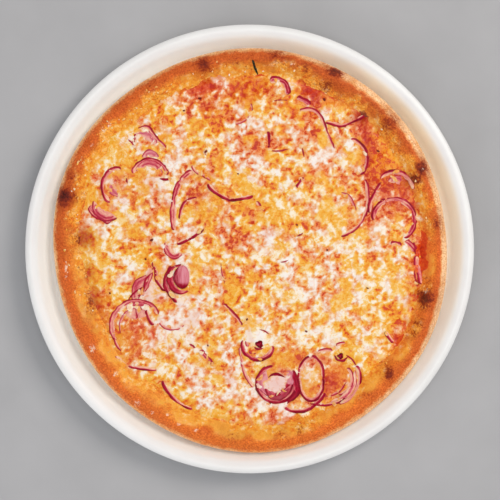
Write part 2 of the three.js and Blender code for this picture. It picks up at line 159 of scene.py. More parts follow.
# Scorched places on the rim: x, y, half sizes, how deep the scorching goes
SCORCHES = [
    (-33, 131, 5.5, 5, 0.75), (19, 138, 6, 4.5, 0.6), (40, 128.5, 5, 4.5, 0.5), (60.5, 126.5, 6, 4, 0.85),
    (55.5, 116.5, 6, 4, 0.6), (99.5, 90, 6, 5, 0.6), (122.5, 57, 4, 5, 0.9), (116.5, 49.5, 6, 4, 0.75),
    (133.5, 18, 2.8, 5, 0.6), (125.5, -34.5, 5.5, 6, 0.88), (121, -53, 5, 4, 0.5), (117, -60.5, 5, 4, 0.45),
    (99.5, -88.5, 3, 4, 0.8), (84.5, -104.5, 5, 3, 0.4), (-131.5, 37.5, 5.5, 6, 1), (-127, 51.5, 4, 6, 0.5),
    (-119, 8, 5.5, 5.5, 0.75), (-113, -36.5, 4, 9, 0.6), (-115.5, -16.5, 3, 5, 0.5), (36, -129, 3, 4, 0.5),
    (22, -131.5, 5, 4, 0.35), (-12.5, -134.5, 7, 5, 0.35), (-10.5, 134.5, 8, 5, 0.35),
    (-71.5, 116, 7, 6, 0.35), (-89.5, 101, 6, 5, 0.3), (80, 94.5, 4, 3.2, 1),
]

# Flour that clung to the rim: x, y, half sizes
FLOUR = [
    (-130.5, -15, 3, 13), (-100, 88, 3, 6), (-104, 85, 3, 5), (-112.5, 74, 3, 3), (-112, -71, 5, 7),
    (-95.5, -89, 4, 4), (-80, -110, 5, 5), (-69.5, -116.5, 3, 3), (-58.5, -118, 4, 2), (-50, -124.5, 4, 3),
    (-38, -129, 4, 3), (30.5, 131.5, 4, 2), (114, 79.5, 2, 4), (126, -30, 4, 5), (123, 57, 2, 3),
]

# Areas of the cheese that differ: x, y, half sizes, then how much whiter, redder and pinker
CHEESE_PLACES = [
    (-29, 112, 28, 10, -0.25, 0.5, 0), (45, 114, 12, 8, -0.5, 0.9, 0), (82, 87, 6, 15, -0.5, 0.6, 0),
    (107, 38, 15, 14, -0.5, 0.8, 0), (121, -10, 6, 16, -0.6, 1, 0), (106, -66, 6, 13, -0.4, 0.8, 0),
    (-80, -66, 14, 14, -0.25, 0.65, 0.2), (-31, 76, 7, 6, 0.5, 0, 0), (-22, 105, 3, 4, 0.5, 0, 0),
    (31, 117, 2.6, 7, 0.6, -0.5, 0), (53, 97, 3.5, 6, 0.5, -0.4, 0), (110, -27, 5, 9, 0.4, -0.3, 0),
    (19, 1, 8, 6, 0.4, 0, 0), (6, -62, 10, 5.5, 0.8, -0.3, 0), (-97, -12, 11, 18, 0, -0.4, 0),
    (7, -33, 11, 11, 0, -0.4, 0), (-94, 44, 9, 11, -0.1, 0.1, 0.5), (-72, 50, 9, 9, 0, 0, 0.4),
    (-60, -22, 12, 12, -0.1, 0, 0.5), (19, -96, 10, 9, 0.1, 0, 0.7), (44, -92, 6, 11, 0.4, 0, 0.1),
    (60, -91, 11, 12, -0.35, 0.8, 0.1), (73, -97, 4, 9, 0.4, -0.2, 0.2), (-76, -26, 9, 9, 0.1, 0, 0.7),
    (-80, -52, 12, 9, -0.1, 0.5, 0.3), (103, 21, 10, 10, 0.2, 0, 0), (72, -18, 26, 16, 0.15, -0.2, 0),
    (-50, -62, 22, 14, 0.2, 0, 0.1), (32, -38, 14, 22, 0.05, -0.5, 0), (-12, -95, 12, 16, 0.25, -0.2, 0),
    (8, 111, 24, 9, -0.45, 0.25, 0), (-32, 98, 13, 8, -0.45, 0.15, 0), (95, 62, 12, 24, -0.9, 0, 0),
    (84, 66, 4, 18, -0.4, 0.6, 0), (-38, 40, 13, 9, -0.45, 0.3, 0.1), (-20, -20, 13, 11, -0.6, 0, 0),
    (-70, 0, 18, 12, -0.35, 0, 0), (-10, 3, 14, 9, -0.3, 0, 0), (-78, 78, 14, 13, 0.36, 0, 0),
    (-52, 62, 16, 10, 0.24, 0, 0), (-8, 62, 20, 9, 0.34, 0, 0), (28, -20, 20, 12, 0.36, 0, 0),
    (62, -42, 16, 10, 0.3, 0, 0), (-22, -60, 14, 10, 0.32, 0, 0), (-60, -82, 14, 10, 0.3, 0, 0),
    (40, 48, 14, 16, -0.25, 0, 0), (38, -78, 16, 8, -0.5, 0.35, 0.2), (38, -104, 14, 8, -0.3, 0.1, 0.4),
    (-104, -42, 8, 12, -0.2, 0.5, 0), (-36, 116, 14, 6, -0.3, 0.5, 0), (70, 108, 12, 6, 0, 0.5, 0),
    (24, -121, 26, 5, -0.3, 0.4, 0), (-60, 22, 12, 8, 0.3, 0, 0), (0, 20, 12, 8, 0.3, 0, 0),
    (-120, -22, 6, 12, 0.4, 0, 0), (20, -40, 12, 8, 0.3, 0, 0), (80, 18, 10, 8, 0.3, 0, 0),
    (-20, -100, 10, 10, 0.25, 0, 0), (80, -30, 36, 34, 0.08, -0.8, -0.4), (30, 66, 26, 18, 0, -0.3, -0.2),
    (-90, -10, 20, 24, 0, -0.5, -0.2),
]

# Areas that are more buttery, or milkier: x, y, half sizes, how much
GOLDEN_PLACES = [
    (-72, -2, 22, 18, 0.5), (-12, -4, 20, 14, 0.55), (98, 66, 14, 28, 0.8), (0, 106, 26, 8, 0.4),
    (20, -96, 14, 12, -0.3), (-76, 80, 18, 14, -0.45), (-58, 60, 16, 12, -0.35), (30, -20, 20, 12, -0.35),
    (62, -40, 18, 14, -0.4), (80, -6, 14, 16, -0.4), (-60, -82, 18, 12, -0.45), (-20, -62, 14, 10, -0.3),
    (44, 66, 18, 12, -0.4), (-110, -14, 12, 20, 0.3), (4, -36, 14, 14, 0.3),
]

# Large soft drops of cheese that stand above the rest: x, y, half width, half depth, height
CHEESE_DROPS = [
    (6, -61, 10, 5.5, 1), (-31, 76, 8, 7, 0.6), (-23, 104, 4, 5, 0.7), (52, 96, 4, 6, 0.7),
    (110, -25, 7, 9, 0.6), (67, -62, 6, 5, 0.6),
]

# Red onion in strips: node without onion_, width, how dark, how deep it lies, points on its line
STRIPS = [
    ("arch_northwest", 2.6, 0.7, 0.3, [(-82, 76), (-79.5, 84), (-74, 87), (-69.5, 82.5), (-66, 77.5),
        (-60, 72.5)]),
    ("strip_northwest", 2.2, 0.5, 0.5, [(-41, 60), (-38, 55.5), (-32, 52.5), (-27, 49.5)]),
    ("fan_west", 5.2, 0.7, 0, [(-114, 31), (-111, 26.5), (-105.5, 23), (-99, 20)]),
    ("hook_north", 4.2, 0.9, 0, [(14.5, 121), (21, 120.5), (25.5, 118), (27.5, 110.5)]),
    ("sliver_north", 1.8, 1, 0.1, [(13.2, 84), (13.4, 78), (13.2, 72)]),
    ("curl_centre", 2.6, 1, 0, [(-30, 46.5), (-27, 43), (-21.5, 39), (-15, 36), (-8.5, 36), (2.4, 38)]),
    ("tail_centre", 2.4, 0.7, 0.2, [(4.8, 34), (6.8, 30.5), (9, 26.5)]),
    ("crescent_west", 4.2, 0.7, 0.1, [(-41.5, 56), (-48, 49.5), (-52, 42), (-54, 31.5), (-54.5, 21),
        (-53.5, 13)]),
    ("inner_crescent_west", 2.6, 0.8, 0.2, [(-37.8, 36.5), (-45, 33.7), (-48.4, 28), (-49.8, 21)]),
    ("stick_centre", 2.4, 1, 0, [(-52, 3.5), (-46.5, 6), (-41.5, 8.7), (-37, 11.5), (-33, 14.3)]),
    ("stick_south", 2.4, 0.8, 0.1, [(-18.5, -39.5), (-14, -44.5), (-9, -49.7), (-5.5, -54.7)]),
    ("bit_northeast", 3.2, 1, 0, [(34, 108.5), (38.5, 106.4), (43.5, 103.5)]),
    ("long_arc_northeast", 2.2, 0.7, 0.2, [(36, 99.5), (45, 99.5), (51, 94), (55.5, 82), (60.5, 71)]),
    ("stick_northeast", 2.6, 0.9, 0, [(54.5, 90.5), (58, 90.5), (66, 88.5), (74, 92), (82, 95.5)]),
    ("long_bend_east", 2.4, 0.7, 0.1, [(82.3, 50), (84, 43.5), (84, 30), (77, 16.5), (65.5, 9)]),
    ("inner_bend_east", 2.4, 0.9, 0, [(94.5, 47.5), (89.5, 38.8), (86.6, 33), (85.4, 26)]),
    ("bit_east", 2.4, 0.8, 0, [(101, 3.4), (104.5, 4.2), (108.5, 2.2)]),
    ("band_east", 4.2, 0.7, 0, [(111.5, 5.6), (115, 2.5), (118.5, -1.5)]),
    ("strip_east", 3, 0.8, 0, [(119.2, -5), (119.6, -12), (121.5, -18), (122.8, -25)]),
    ("sliver_east", 1.8, 0.5, 0.3, [(65, 40), (71, 37.3), (74.3, 31), (75.8, 26.5)]),
    ("sliver_centre", 2.2, 0.9, 0.1, [(34, 43.8), (36.4, 47.6), (39, 51)]),
    ("sliver_southeast", 2.2, 0.9, 0.1, [(97.4, -59), (100, -63.2), (103, -67)]),
    ("inner_strip_southwest", 2.6, 0.9, 0, [(-73.6, -43.5), (-71.6, -49.7), (-68.5, -54.2)]),
    ("core_strip_southwest", 2.2, 0.7, 0.1, [(-82.6, -42.5), (-82, -46), (-81.7, -50)]),
    ("inner_petal_southwest", 2.8, 0.9, 0, [(-69.5, -9.5), (-66.6, -15.2), (-65.8, -22.4), (-60.5, -30)]),
    ("dark_curve_southwest", 3.2, 1, 0, [(-56, -12), (-60, -22.5), (-59, -28), (-56, -33), (-51.5, -38)]),
    ("strip_far_southwest", 2.2, 0.7, 0.2, [(-96, -77), (-89.6, -81.5), (-82.4, -84.2), (-66.6, -86.4)]),
    ("curve_south_rim", 2.6, 1, 0, [(-62.3, -94.3), (-59.4, -100), (-55, -106), (-50, -111),
        (-41, -114.5)]), ("wedge_south", 3.6, 0.7, 0.2, [(-35.7, -72.7), (-31.3, -77.7), (-26.3, -83.5)]),
    ("pale_curve_south", 2, 0.4, 0.4, [(-7, -70.5), (-5.5, -78.4), (-4.4, -85), (-1.9, -91.4), (3, -99)]),
    ("dark_band_south", 3.6, 1, 0, [(15.5, -104), (22, -102.6), (26, -99.5), (28, -95.5)]),
    ("outer_curve_south", 2.8, 1, 0, [(54, -103), (46, -111.5), (38.5, -115.5), (31, -115.5),
        (25, -112.8)]), ("bit_southeast", 2.2, 0.7, 0.2, [(62, -69), (66, -67.6), (71.5, -67.7)]),
    ("short_arc_southeast", 2.2, 0.6, 0.2, [(48.5, -74), (53.5, -72.7), (59.2, -72.8)]),
]

# Bits of onion too fine for a solid of their own: width, how dark, points on the line
SLIVERS = [
    (1.2, 0.8, [(16, 105.6), (21.5, 106.4), (27.6, 106.3)]),
    (1.3, 0.6, [(13.9, 70.4), (21, 70.2), (28.3, 71.8)]),
    (1.2, 0.7, [(-32, 71), (-31.8, 69), (-30.6, 66.8)]),
    (1.2, 0.5, [(-20.6, -9.4), (-19.8, -16.6), (-17.7, -25.2)]),
    (1.2, 0.7, [(21.9, -9.4), (25, -9), (27.6, -8)]), (1.3, 0.8, [(37, 74), (38.4, 68.2), (39.1, 64.6)]),
    (1.6, 0.9, [(32.6, 9.3), (35.5, 9.9), (38.4, 11.4)]),
    (1.2, 0.6, [(-78.1, -41.1), (-77.2, -45), (-77.4, -49.7)]),
    (2, 1, [(-64.4, 50.2), (-60, 49.9), (-55.8, 50.2)]),
    (1.6, 1, [(-90.3, 52.4), (-88.6, 50), (-87.4, 46.7)]),
    (1.2, 0.8, [(6.8, -57.6), (11.1, -59), (14.7, -61.9)]),
    (2.2, 0.8, [(-43.5, -68), (-41, -69.4), (-38.6, -71.5)]),
    (1.4, 0.7, [(116.5, 8), (118, 2), (118.6, -4)]), (1.6, 0.8, [(117.5, -14), (118.5, -20), (120, -27)]),
    (1.3, 0.6, [(-88, 79), (-84, 75.5), (-81.5, 70.5)]),
    (1.4, 0.8, [(-69.5, -16.7), (-73.9, -21.1), (-75.6, -28.1), (-76.5, -35.1)]),
    (1.4, 0.8, [(-75.6, -26.8), (-81.7, -30.7), (-85.2, -34.2), (-87, -37.7)]),
    (1.2, 0.7, [(-77.4, -28.1), (-78.3, -32), (-79.6, -35.9)]),
    (2.8, 0.85, [(43, -110.6), (49, -111.4), (56, -111.3), (62, -110), (68, -106.5), (73, -102)]),
    (2, 0.6, [(53, -105.3), (57.6, -104.9), (64.5, -101.5), (69.1, -95.3)]),
    (2.4, 1, [(60.5, -75.5), (63, -79), (67.5, -79.5), (70.5, -77)]),
    (2.2, 0.9, [(3, -69.5), (6, -71.5), (10, -71)]),
]

# Fine parts of rings: width, how dark, centre, half sizes, from, to
FINE_ARCS = [
    (1.6, 0.7, (60, -92.4), (18.4, 18.8), 28, 62), (2.2, 0.3, (-80, -56), (12.8, 13.5), 95, 205),
    (2, 0.6, (-80, -58), (17.8, 20), 195, 232),
]

# Soft broad skins: width, thickness, how dark the line, how dark the flesh, how mauve, points
SKINS = [
    (5.5, 2.2, 0.75, 0.46, 0, [(-49, -11), (-55, -14.5), (-57, -21), (-54.5, -27.5), (-49, -31),
        (-43, -29.5)]), (10, 0.8, 0.4, 0.3, 0.1, [(-71, -18), (-78, -27), (-84, -36)]),
    (12, 0.7, 0.3, 0.32, 0.15, [(-91, -48), (-81, -43.5), (-71, -46)]),
    (8, 0.9, 0.6, 0.3, 0.8, [(11.5, -87), (9, -95), (12.5, -105)]),
    (7, 0.9, 0.6, 0.34, 0.8, [(25, -84.5), (30, -91), (29, -100)]),
    (5, 0.8, 0.5, 0.36, 0.1, [(-3, -66), (1, -72), (7, -75)]),
    (6, 1.5, 0.9, 0.5, 0, [(29.6, -84), (32.6, -94), (33, -103), (26.5, -109), (24, -114)]),
    (2.4, 1.9, 0.9, 0.6, 0, [(13, -93), (16, -90.6), (20.5, -89.9), (25.5, -92)]),
    (6.5, 1.6, 0.8, 0.5, 0.2, [(11, -100), (17, -105), (25, -103.5), (31, -97)]),
    (7, 1.2, 0.4, 0.22, 0.4, [(-84, 76), (-79, 81.5), (-72, 80.5), (-66, 74)]),
    (6, 1.2, 0.6, 0.26, 0.6, [(-77, 66), (-71, 68.2), (-65, 66)]),
    (5, 0.7, 0.3, 0.18, 0.1, [(56, -109.5), (67, -106.5), (74, -98), (75.5, -87)]),
    (8, 1, 0.7, 0.28, 0.1, [(-112, 34), (-109, 28), (-103, 23.5), (-95, 22)]),
    (6, 1.3, 0.4, 0.26, 0.1, [(-81, 56), (-75, 60.5), (-67, 59.5), (-62, 53)]),
    (9, 1.4, 0.4, 0.24, 0.3, [(-96, 53), (-97, 45), (-93, 37)]),
    (7, 0.8, 0.6, 0.3, 0.2, [(99, 49), (106, 49.5), (113, 44)]),
]

# Charred flecks of herb and pepper: x, y, half size
FLECKS = [
    (-70, 6.4, 0.9), (-74.5, -7.3, 0.7), (-100, -31.7, 0.7), (-1.9, -50.4, 0.7), (55.6, -0.8, 0.7),
    (-29.9, -69.1, 0.6), (-35.7, 107.8, 0.9), (40.5, -59, 0.7), (84.4, -28.1, 0.6), (34, 17.2, 0.6),
    (53.5, 107, 0.8), (-31.3, 69.7, 0.8), (-8.3, 53.8, 0.6), (-47, 99, 0.6), (92, 70, 0.7), (15, -110, 0.6),
]

# Onion pieces that are broad in the middle and pointed at both ends
PETALS = [
    ("petal_centre", 7.5, 0.6, 0, [(-60.5, 4.5), (-57.8, 0), (-54.5, -3.8), (-48.6, -4.2)]),
    ("petal_southwest", 6.4, 0.4, 0, [(-81.5, -34), (-78, -29.5), (-73.8, -21.5), (-69.8, -13)]),
]

# Onion rings and parts of rings: node, width, how dark, how deep, centre, half sizes, from, to
ARCS = [
    ("arc_northwest", 3.4, 0.7, 0.1, (-71.6, 51), (12.2, 12.2), 8, 165),
    ("ring_west", 2.8, 0.8, 0, (-94, 44.5), (10.8, 12.9), 80, 238),
    ("ring_north", 2, 0.4, 0.4, (-10.5, 102), (11.5, 11.5), -110, 10),
    ("arc_east", 2.8, 0.9, 0, (68.6, 64), (15, 15), -45, 75),
    ("upper_ring_east", 2.8, 0.8, 0, (104, 41.5), (13.6, 13.6), 5, 140),
    ("ring_east", 3.6, 0.8, 0, (103.2, 20.8), (14.6, 14.6), -60, 180),
    ("ring_southwest", 3.6, 0.6, 0, (-81, -55.4), (17.6, 17.6), 29, 214),
    ("brown_arc_southwest", 2.6, 0.4, 0.4, (-55, -46.8), (10, 10), 200, 330),
    ("cup_south", 3.2, 0.9, 0, (6, -67.7), (10.8, 10.8), 168, 350),
    ("ring_south", 3.2, 1, 0, (19, -96.4), (13.2, 12.4), 100, 372),
    ("oval_ring_south", 2.8, 0.9, 0, (44.1, -92.8), (8.4, 15), 0, 360),
    ("outer_ring_southeast", 2.8, 0.8, 0, (60.4, -92.8), (18.2, 18.2), -78, 30),
    ("inner_ring_southeast", 2.4, 0.5, 0.2, (62.5, -92.8), (10.6, 10.6), -90, 45),
]

# Small closed rings from the heart of an onion: node, centre, radius, thickness
CORES = [
    ("core_south", (7.1, -68), 2.2, 0.75), ("core_southeast", (65, -76.5), 1.7, 0.7),
]


# Relief and outlines

TABLE_SIZE = 128
LAYER_TURN = 0.9


@lru_cache(None)
def random_table(seed):
    return np.random.default_rng(seed).uniform(-1, 1, (TABLE_SIZE, TABLE_SIZE))


def blended(table, i, j, k, l, u, v):
    """The value between four neighbours of a table, in rows i and k and in columns j and l."""
    low = table[i, j] * (1 - u) + table[k, j] * u
    high = table[i, l] * (1 - u) + table[k, l] * u
    return low * (1 - v) + high * v


def relief(x, y, size, seed):
    """Smooth uneven relief from -1 to 1 in lumps of about the given size. The seed picks a pattern."""
    gx = np.asarray(x) / size + TABLE_SIZE / 2
    gy = np.asarray(y) / size + TABLE_SIZE / 2
    i, j = np.floor(gx).astype(int), np.floor(gy).astype(int)
    u, v = gx - i, gy - j
    u, v = u * u * (3 - 2 * u), v * v * (3 - 2 * v)
    i, j, k, l = (n % TABLE_SIZE for n in (i, j, i + 1, j + 1))
    return blended(random_table(seed), i, j, k, l, u, v)


def rough_relief(x, y, size, seed, layers=4, fade=0.55):
    """Relief with finer and finer lumps laid over the coarse ones, each layer turned and fainter."""
    total, strength, reach = 0, 1, 0
    for layer in range(layers):
        turn = LAYER_TURN * layer
        tx = x * math.cos(turn) - y * math.sin(turn)
        ty = x * math.sin(turn) + y * math.cos(turn)
        total = total + strength * relief(tx, ty, size, seed + layer)
        reach += strength
        strength *= fade
        size *= 0.5
    return total / reach


def hump(offset):
    return np.exp(-offset ** 2)


def place_sums(x, y, places, reach=1, combine=np.add):
    """What a table of places gives at each point, with one result for each amount. A row is x, y and
    half sizes, then amounts that fade with distance. Without any, the amount is 1."""
    totals = 0
    for cx, cy, half_width, half_depth, *amounts in places:
        near = hump(np.hypot((x - cx) / (half_width * reach), (y - cy) / (half_depth * reach)))
        totals = combine(totals, np.multiply.outer(amounts or [1], near))
    return totals


def toward(angle, direction, spread):
    """1 in a direction from the middle, fading to 0 on either side of it. All in degrees."""
    return hump(((angle - direction + 180) % 360 - 180) / spread)


def rim_sum(angle, stretches, start=0):
    """Adds up what a table of direction, amount and spread gives round the rim."""
    total = start
    for direction, amount, spread in stretches:
        total = total + amount * toward(angle, direction, spread)
    return total


def held(value):
    return np.clip(value, 0, 1)


def smooth(value, start, end):
    """0 on the start's side, 1 on the end's side, and a soft slope between."""
    share = held((value - start) / (end - start))
    return share * share * (3 - 2 * share)


def angle_of(x, y):
    return np.degrees(np.arctan2(y, x))


def at_angle(radius, angle):
    return radius * np.cos(np.radians(angle)), radius * np.sin(np.radians(angle))


def outer_radius(angle):
    radius = PIZZA_RADIUS
    for waves, cosine, sine in OUTLINE_WAVES:
        turn = waves * np.radians(angle)
        radius = radius + cosine * np.cos(turn) + sine * np.sin(turn)
    return radius


def rim_width(angle):
    return rim_sum(angle, RIM_CHANGES, RIM_WIDTH)


def toe_radius(angle):
    """Where the rim's inner slope meets the flat base."""
    return outer_radius(angle) - rim_width(angle)


def edge_redness(angle):
    return held(rim_sum(angle, EDGE_TONES))


def cheese_radius(angle):
    """Where the cheese ends: it laps the rim's inner slope, and stops short where sauce shows."""
    radius = toe_radius(angle) + 4 + 2.5 * toward(angle, 140, 25) - 7 * edge_redness(angle) ** 2
    return radius + 6.5 * rough_relief(*at_angle(radius, angle), 12, 31)


def catmull(points, per_span):
    """Points along a smooth line through the given ones."""
    ends = [2 * np.array(points[0]) - points[1]] + [np.array(p, float) for p in points]
    ends.append(2 * np.array(points[-1]) - points[-2])
    line = []
    for a, b, c, d in zip(ends, ends[1:], ends[2:], ends[3:]):
        for t in np.arange(per_span) / per_span:
            line.append(0.5 * (2 * b + (c - a) * t + (2 * a - 5 * b + 4 * c - d) * t ** 2
                               + (3 * b - 3 * c + d - a) * t ** 3))
    return np.array(line + [ends[-2]])


def evenly(line, count):
    """The same line with its points spread evenly along it, and its length."""
    run = np.concatenate([[0], np.cumsum(np.hypot(*np.diff(line, axis=0).T))])
    wanted = np.linspace(0, run[-1], count)
    return np.stack([np.interp(wanted, run, places) for places in line.T], axis=1), run[-1]


# Materials

def linear(hex_colour):
    """An sRGB colour such as "F3F0EC" as linear red, green, blue and alpha."""
    values = [int(hex_colour[k:k + 2], 16) / 255 for k in (0, 2, 4)]
    return tuple(v / 12.92 if v <= 0.04045 else ((v + 0.055) / 1.055) ** 2.4 for v in values) + (1,)


class Recipe:
    """A material while it is put together. Each step gives the socket that a later step takes."""

    def __init__(self, name):
        self.material = bpy.data.materials.new(name)
        self.material.use_nodes = True
        self.tree = self.material.node_tree
        self.tree.nodes.clear()

    def add(self, kind, inputs, output=0, **settings):
        """Adds a node. An input is a value, a hex colour, or the output socket that feeds it."""
        node = self.tree.nodes.new("ShaderNode" + kind)
        for key, value in settings.items():
            setattr(node, key, value)
        for key, value in inputs.items():
            if isinstance(value, bpy.types.NodeSocket):
                self.tree.links.new(value, node.inputs[key])
            else:
                node.inputs[key].default_value = linear(value) if isinstance(value, str) else value
        return node.outputs[output]

    def marked(self, name):
        """The values that mark() stored on the piece's corners."""
        return self.add("Attribute", {}, "Fac", attribute_name=name)

    def noise(self, size, detail, roughness=0.5, **more):
        """Unevenness from 0 to 1 in lumps of the given size in millimetres."""
        place = self.add("TexCoord", {}, "Object")
        return self.add("TexNoise", {"Vector": place, "Scale": 1 / (size * MM), "Detail": detail,
                                     "Roughness": roughness, **more}, "Fac")

    def maths(self, operation, *values, **settings):
        return self.add("Math", dict(enumerate(values)), operation=operation, **settings)

    def times(self, first, second, **settings):
        return self.maths("MULTIPLY", first, second, **settings)

    def swayed(self, value, noise, amount):
        """The value, moved up and down by noise, by half the amount at most."""
        return self.maths("MULTIPLY_ADD", self.maths("SUBTRACT", noise, 0.5), amount, value)

    def spread(self, value, from_low, from_high, to_low, to_high, **settings):
        """Moves a value from one range to another."""
        inputs = {"Value": value, 1: from_low, 2: from_high, 3: to_low, 4: to_high}
        return self.add("MapRange", inputs, **settings)

    def steps(self, value, *steps):
        """A colour for each value, from pairs of a value and a hex colour."""
        colour = self.add("ValToRGB", {"Fac": value})
        elements = colour.node.color_ramp.elements
        while len(elements) < len(steps):
            elements.new(0.5)
        for element, (place, tone) in zip(elements, steps):
            element.position = place
            element.color = linear(tone)
        return colour

    def mix(self, share, first, second):
        """The first colour, with a share of the second."""
        return self.add("Mix", {"Factor": share, "A": first, "B": second}, "Result", data_type="RGBA")

    def bump(self, height, strength, depth, **more):
        return self.add("Bump", {"Height": height, "Strength": strength, "Distance": depth * MM, **more})

    def finish(self, inputs):
        """The finished material: one surface that takes these inputs."""
        surface = self.add("BsdfPrincipled", inputs)
        output = self.tree.nodes.new("ShaderNodeOutputMaterial")
        self.tree.links.new(surface, output.inputs["Surface"])
        return self.material


def glazed_porcelain():
    """Fired porcelain under a satin glaze: white with a trace of warmth, and only a broad soft shine.
    The glaze pools in waves about 25 mm across. The well carries painted light: a warm painted glow
    thrown off the crust where the well lies in shade, and a cool white painted brightening elsewhere."""
    recipe = Recipe("porcelain_white_glazed")
    pool = recipe.noise(25, 2)
    glaze = recipe.steps(pool, (0.3, "E6E5E4"), (0.7, "EAEAE9"))
    # Painted light: the warm tint is a painted bounce from the crust, the cool white a painted brightening
    # of the well
    warm_painted_bounce = recipe.mix(recipe.marked("well"), glaze, "FFF6E2")
    return recipe.finish({
        "Base Color": recipe.mix(recipe.marked("thick"), warm_painted_bounce, "F5FEFF"),
        "Roughness": 0.38, "IOR": 1.5, "Normal": recipe.bump(pool, 0.05, 0.4),
        "Subsurface Weight": 0.5, "Subsurface Scale": 4 * MM, "Subsurface Radius": (1, 1, 1)})


def baked_dough():
    """Wheat dough baked in a hot oven: pale where the side never met the heat, brown on the outer
    shoulder, golden and oily where it meets the topping, and nearly black on burst blisters.
    Pores about 1 mm across and a skin of 3 mm wrinkles give the matte, bread-like surface. In the
    pores the colour is darker and redder, partly painted shade, and lighter on the grains, a painted glint."""
    recipe = Recipe("dough_oven_baked")
    blotch = recipe.noise(7, 4, 0.6)
    pores = recipe.noise(1.2, 3, 0.7)
    char = recipe.noise(1.8, 4, 0.75)
    # Where on the rim: 0 is its foot outside, 1 where it meets the topping, with a wandering border
    across = recipe.swayed(recipe.marked("across"), blotch, 0.34)
    baked = recipe.steps(across, (0, "F6CA9A"), (0.06, "ECAA6A"), (0.15, "DA6A2C"), (0.36, "D86624"),
                         (0.54, "E07A28"), (0.68, "EA9034"), (0.8, "F4AE48"), (1, "F2A842"))
    browned = recipe.mix(recipe.times(blotch, recipe.marked("brown")), baked, "9C3E14")
    # Partly painted light: lighter and more orange where the rim faces away from the window
    warmed = recipe.mix(recipe.marked("warm"), browned, "F28A30")
    drops = recipe.steps(recipe.noise(4.5, 4, 0.65),
                         (0.34, "DC6A1E"), (0.46, "EE982E"), (0.56, "F3B048"), (0.68, "F7D59C"))
    splashed = recipe.mix(recipe.marked("splash"), warmed, drops)
    stained = recipe.mix(recipe.times(recipe.marked("stain"), char), splashed, "DA4A1C")
    # The grain shows least where the crust is oily
    bready = recipe.spread(across, 0.5, 0.8, 1, 0.25)
    # Painted light in the grain: darker and redder down in the pores, partly painted shade, and painted
    # glints on the raised grains
    grain = recipe.steps(pores, (0.32, "B08C78"), (0.5, "CCCCCC"), (0.66, "E2E6EA"), (0.76, "FFF6F0"))
    grain = recipe.mix(bready, "CCCCCC", grain)
    tinted = recipe.add("VectorMath", {0: stained, 1: grain}, operation="MULTIPLY")
    grain_shade_and_glints = recipe.add("VectorMath", {0: tinted, "Scale": 1.66}, operation="SCALE")
    burn = recipe.spread(recipe.maths("MULTIPLY_ADD", char, 1.6, recipe.marked("scorch")), 1.1, 1.85, 0, 1)
    burnt = recipe.steps(burn, (0, "B84A1A"), (0.4, "92300F"), (0.75, "64180F"), (1, "3C0C0C"))
    scorched = recipe.mix(recipe.spread(burn, 0, 0.4, 0, 0.95), grain_shade_and_glints, burnt)
    dust = recipe.spread(recipe.times(char, recipe.marked("flour")), 0.43, 0.56, 0, 0.85)
    coarse = recipe.bump(recipe.noise(3, 3), 0.4, 0.8)
    return recipe.finish({
        "Base Color": recipe.mix(dust, scorched, "F4DCC4"),
        "Roughness": recipe.spread(across, 0.55, 0.78, 0.62, 0.26), "IOR": 1.45, "Specular IOR Level": 0.2,
        "Normal": recipe.bump(pores, recipe.times(bready, 0.8), 0.4, Normal=coarse),
        "Subsurface Weight": 0.06, "Subsurface Scale": 1.5 * MM})


def tomato_sauce():
    """Crushed tomato boiled down in the oven: deep orange-red, wet with oil, and grainy with pulp of
    about 2 mm, darker where it has caught."""
    recipe = Recipe("tomato_sauce_cooked_down")
    pulp = recipe.noise(1.8, 4, 0.65)
    tone = recipe.times(recipe.maths("ADD", pulp, recipe.noise(9, 2)), 0.5)
    red = recipe.steps(tone, (0.3, "98220C"), (0.45, "C4340E"), (0.55, "D84614"), (0.7, "E07428"))
    return recipe.finish({
        "Base Color": red, "Roughness": 0.28, "IOR": 1.4, "Specular IOR Level": 0.3,
        "Normal": recipe.bump(pulp, 0.6, 0.7)})


@lru_cache(None)
def melted_cheese():
    """Grated mozzarella melted and lightly browned: cream-white curds 2 to 5 mm across that stand out
    of oily fat, which is milky in some places and buttery in others, with orange where tomato has
    come through and a pink cast beside onion. A thin film of oil gives it small sharp glints."""
    recipe = Recipe("mozzarella_melted")
    fine = recipe.noise(1.3, 4, 0.7)
    clots = recipe.noise(3.4, 3, 0.6, Distortion=0.8)
    bits = recipe.spread(clots, 0.44, 0.56, -0.11, 0.15, interpolation_type="SMOOTHSTEP")
    curd = recipe.swayed(recipe.maths("ADD", bits, recipe.marked("curd")), fine, 0.6)
    milky = recipe.steps(curd, (0, "BC2A0A"), (0.08, "DC5814"), (0.22, "E38040"), (0.42, "E5A274"),
                         (0.62, "E8BEA0"), (0.8, "EED6C6"), (1, "F2EAE3"))
    buttery = recipe.steps(curd, (0, "CC3E0C"), (0.08, "E06A10"), (0.22, "E68A1A"), (0.42, "EBA426"),
                           (0.62, "EEB84E"), (0.8, "F0D094"), (1, "F4E8D4"))
    melted = recipe.mix(recipe.marked("golden"), milky, buttery)
    stain_share = recipe.times(recipe.spread(curd, 0.5, 1, 1, 0.2), recipe.marked("red"))
    stain = recipe.steps(curd, (0, "B41C06"), (0.3, "D03A0C"), (0.6, "E06020"), (1, "EC9C6C"))
    stained = recipe.mix(stain_share, melted, stain)
    blushed = recipe.mix(recipe.times(recipe.marked("pink"), 0.6), stained, "D86C58")
    toast_share = recipe.times(fine, recipe.marked("toast"), use_clamp=True)
    return recipe.finish({
        "Base Color": recipe.mix(toast_share, blushed, "A22C06"),
        "Roughness": recipe.spread(curd, 0.3, 0.8, 0.26, 0.5), "IOR": 1.45,
        "Normal": recipe.bump(fine, 0.45, 0.5), "Subsurface Weight": 0.12, "Subsurface Scale": 1.2 * MM,
        "Subsurface Radius": (1, 0.7, 0.5), "Specular IOR Level": 0.22, "Coat Weight": 0.07,
        "Coat Roughness": 0.1})


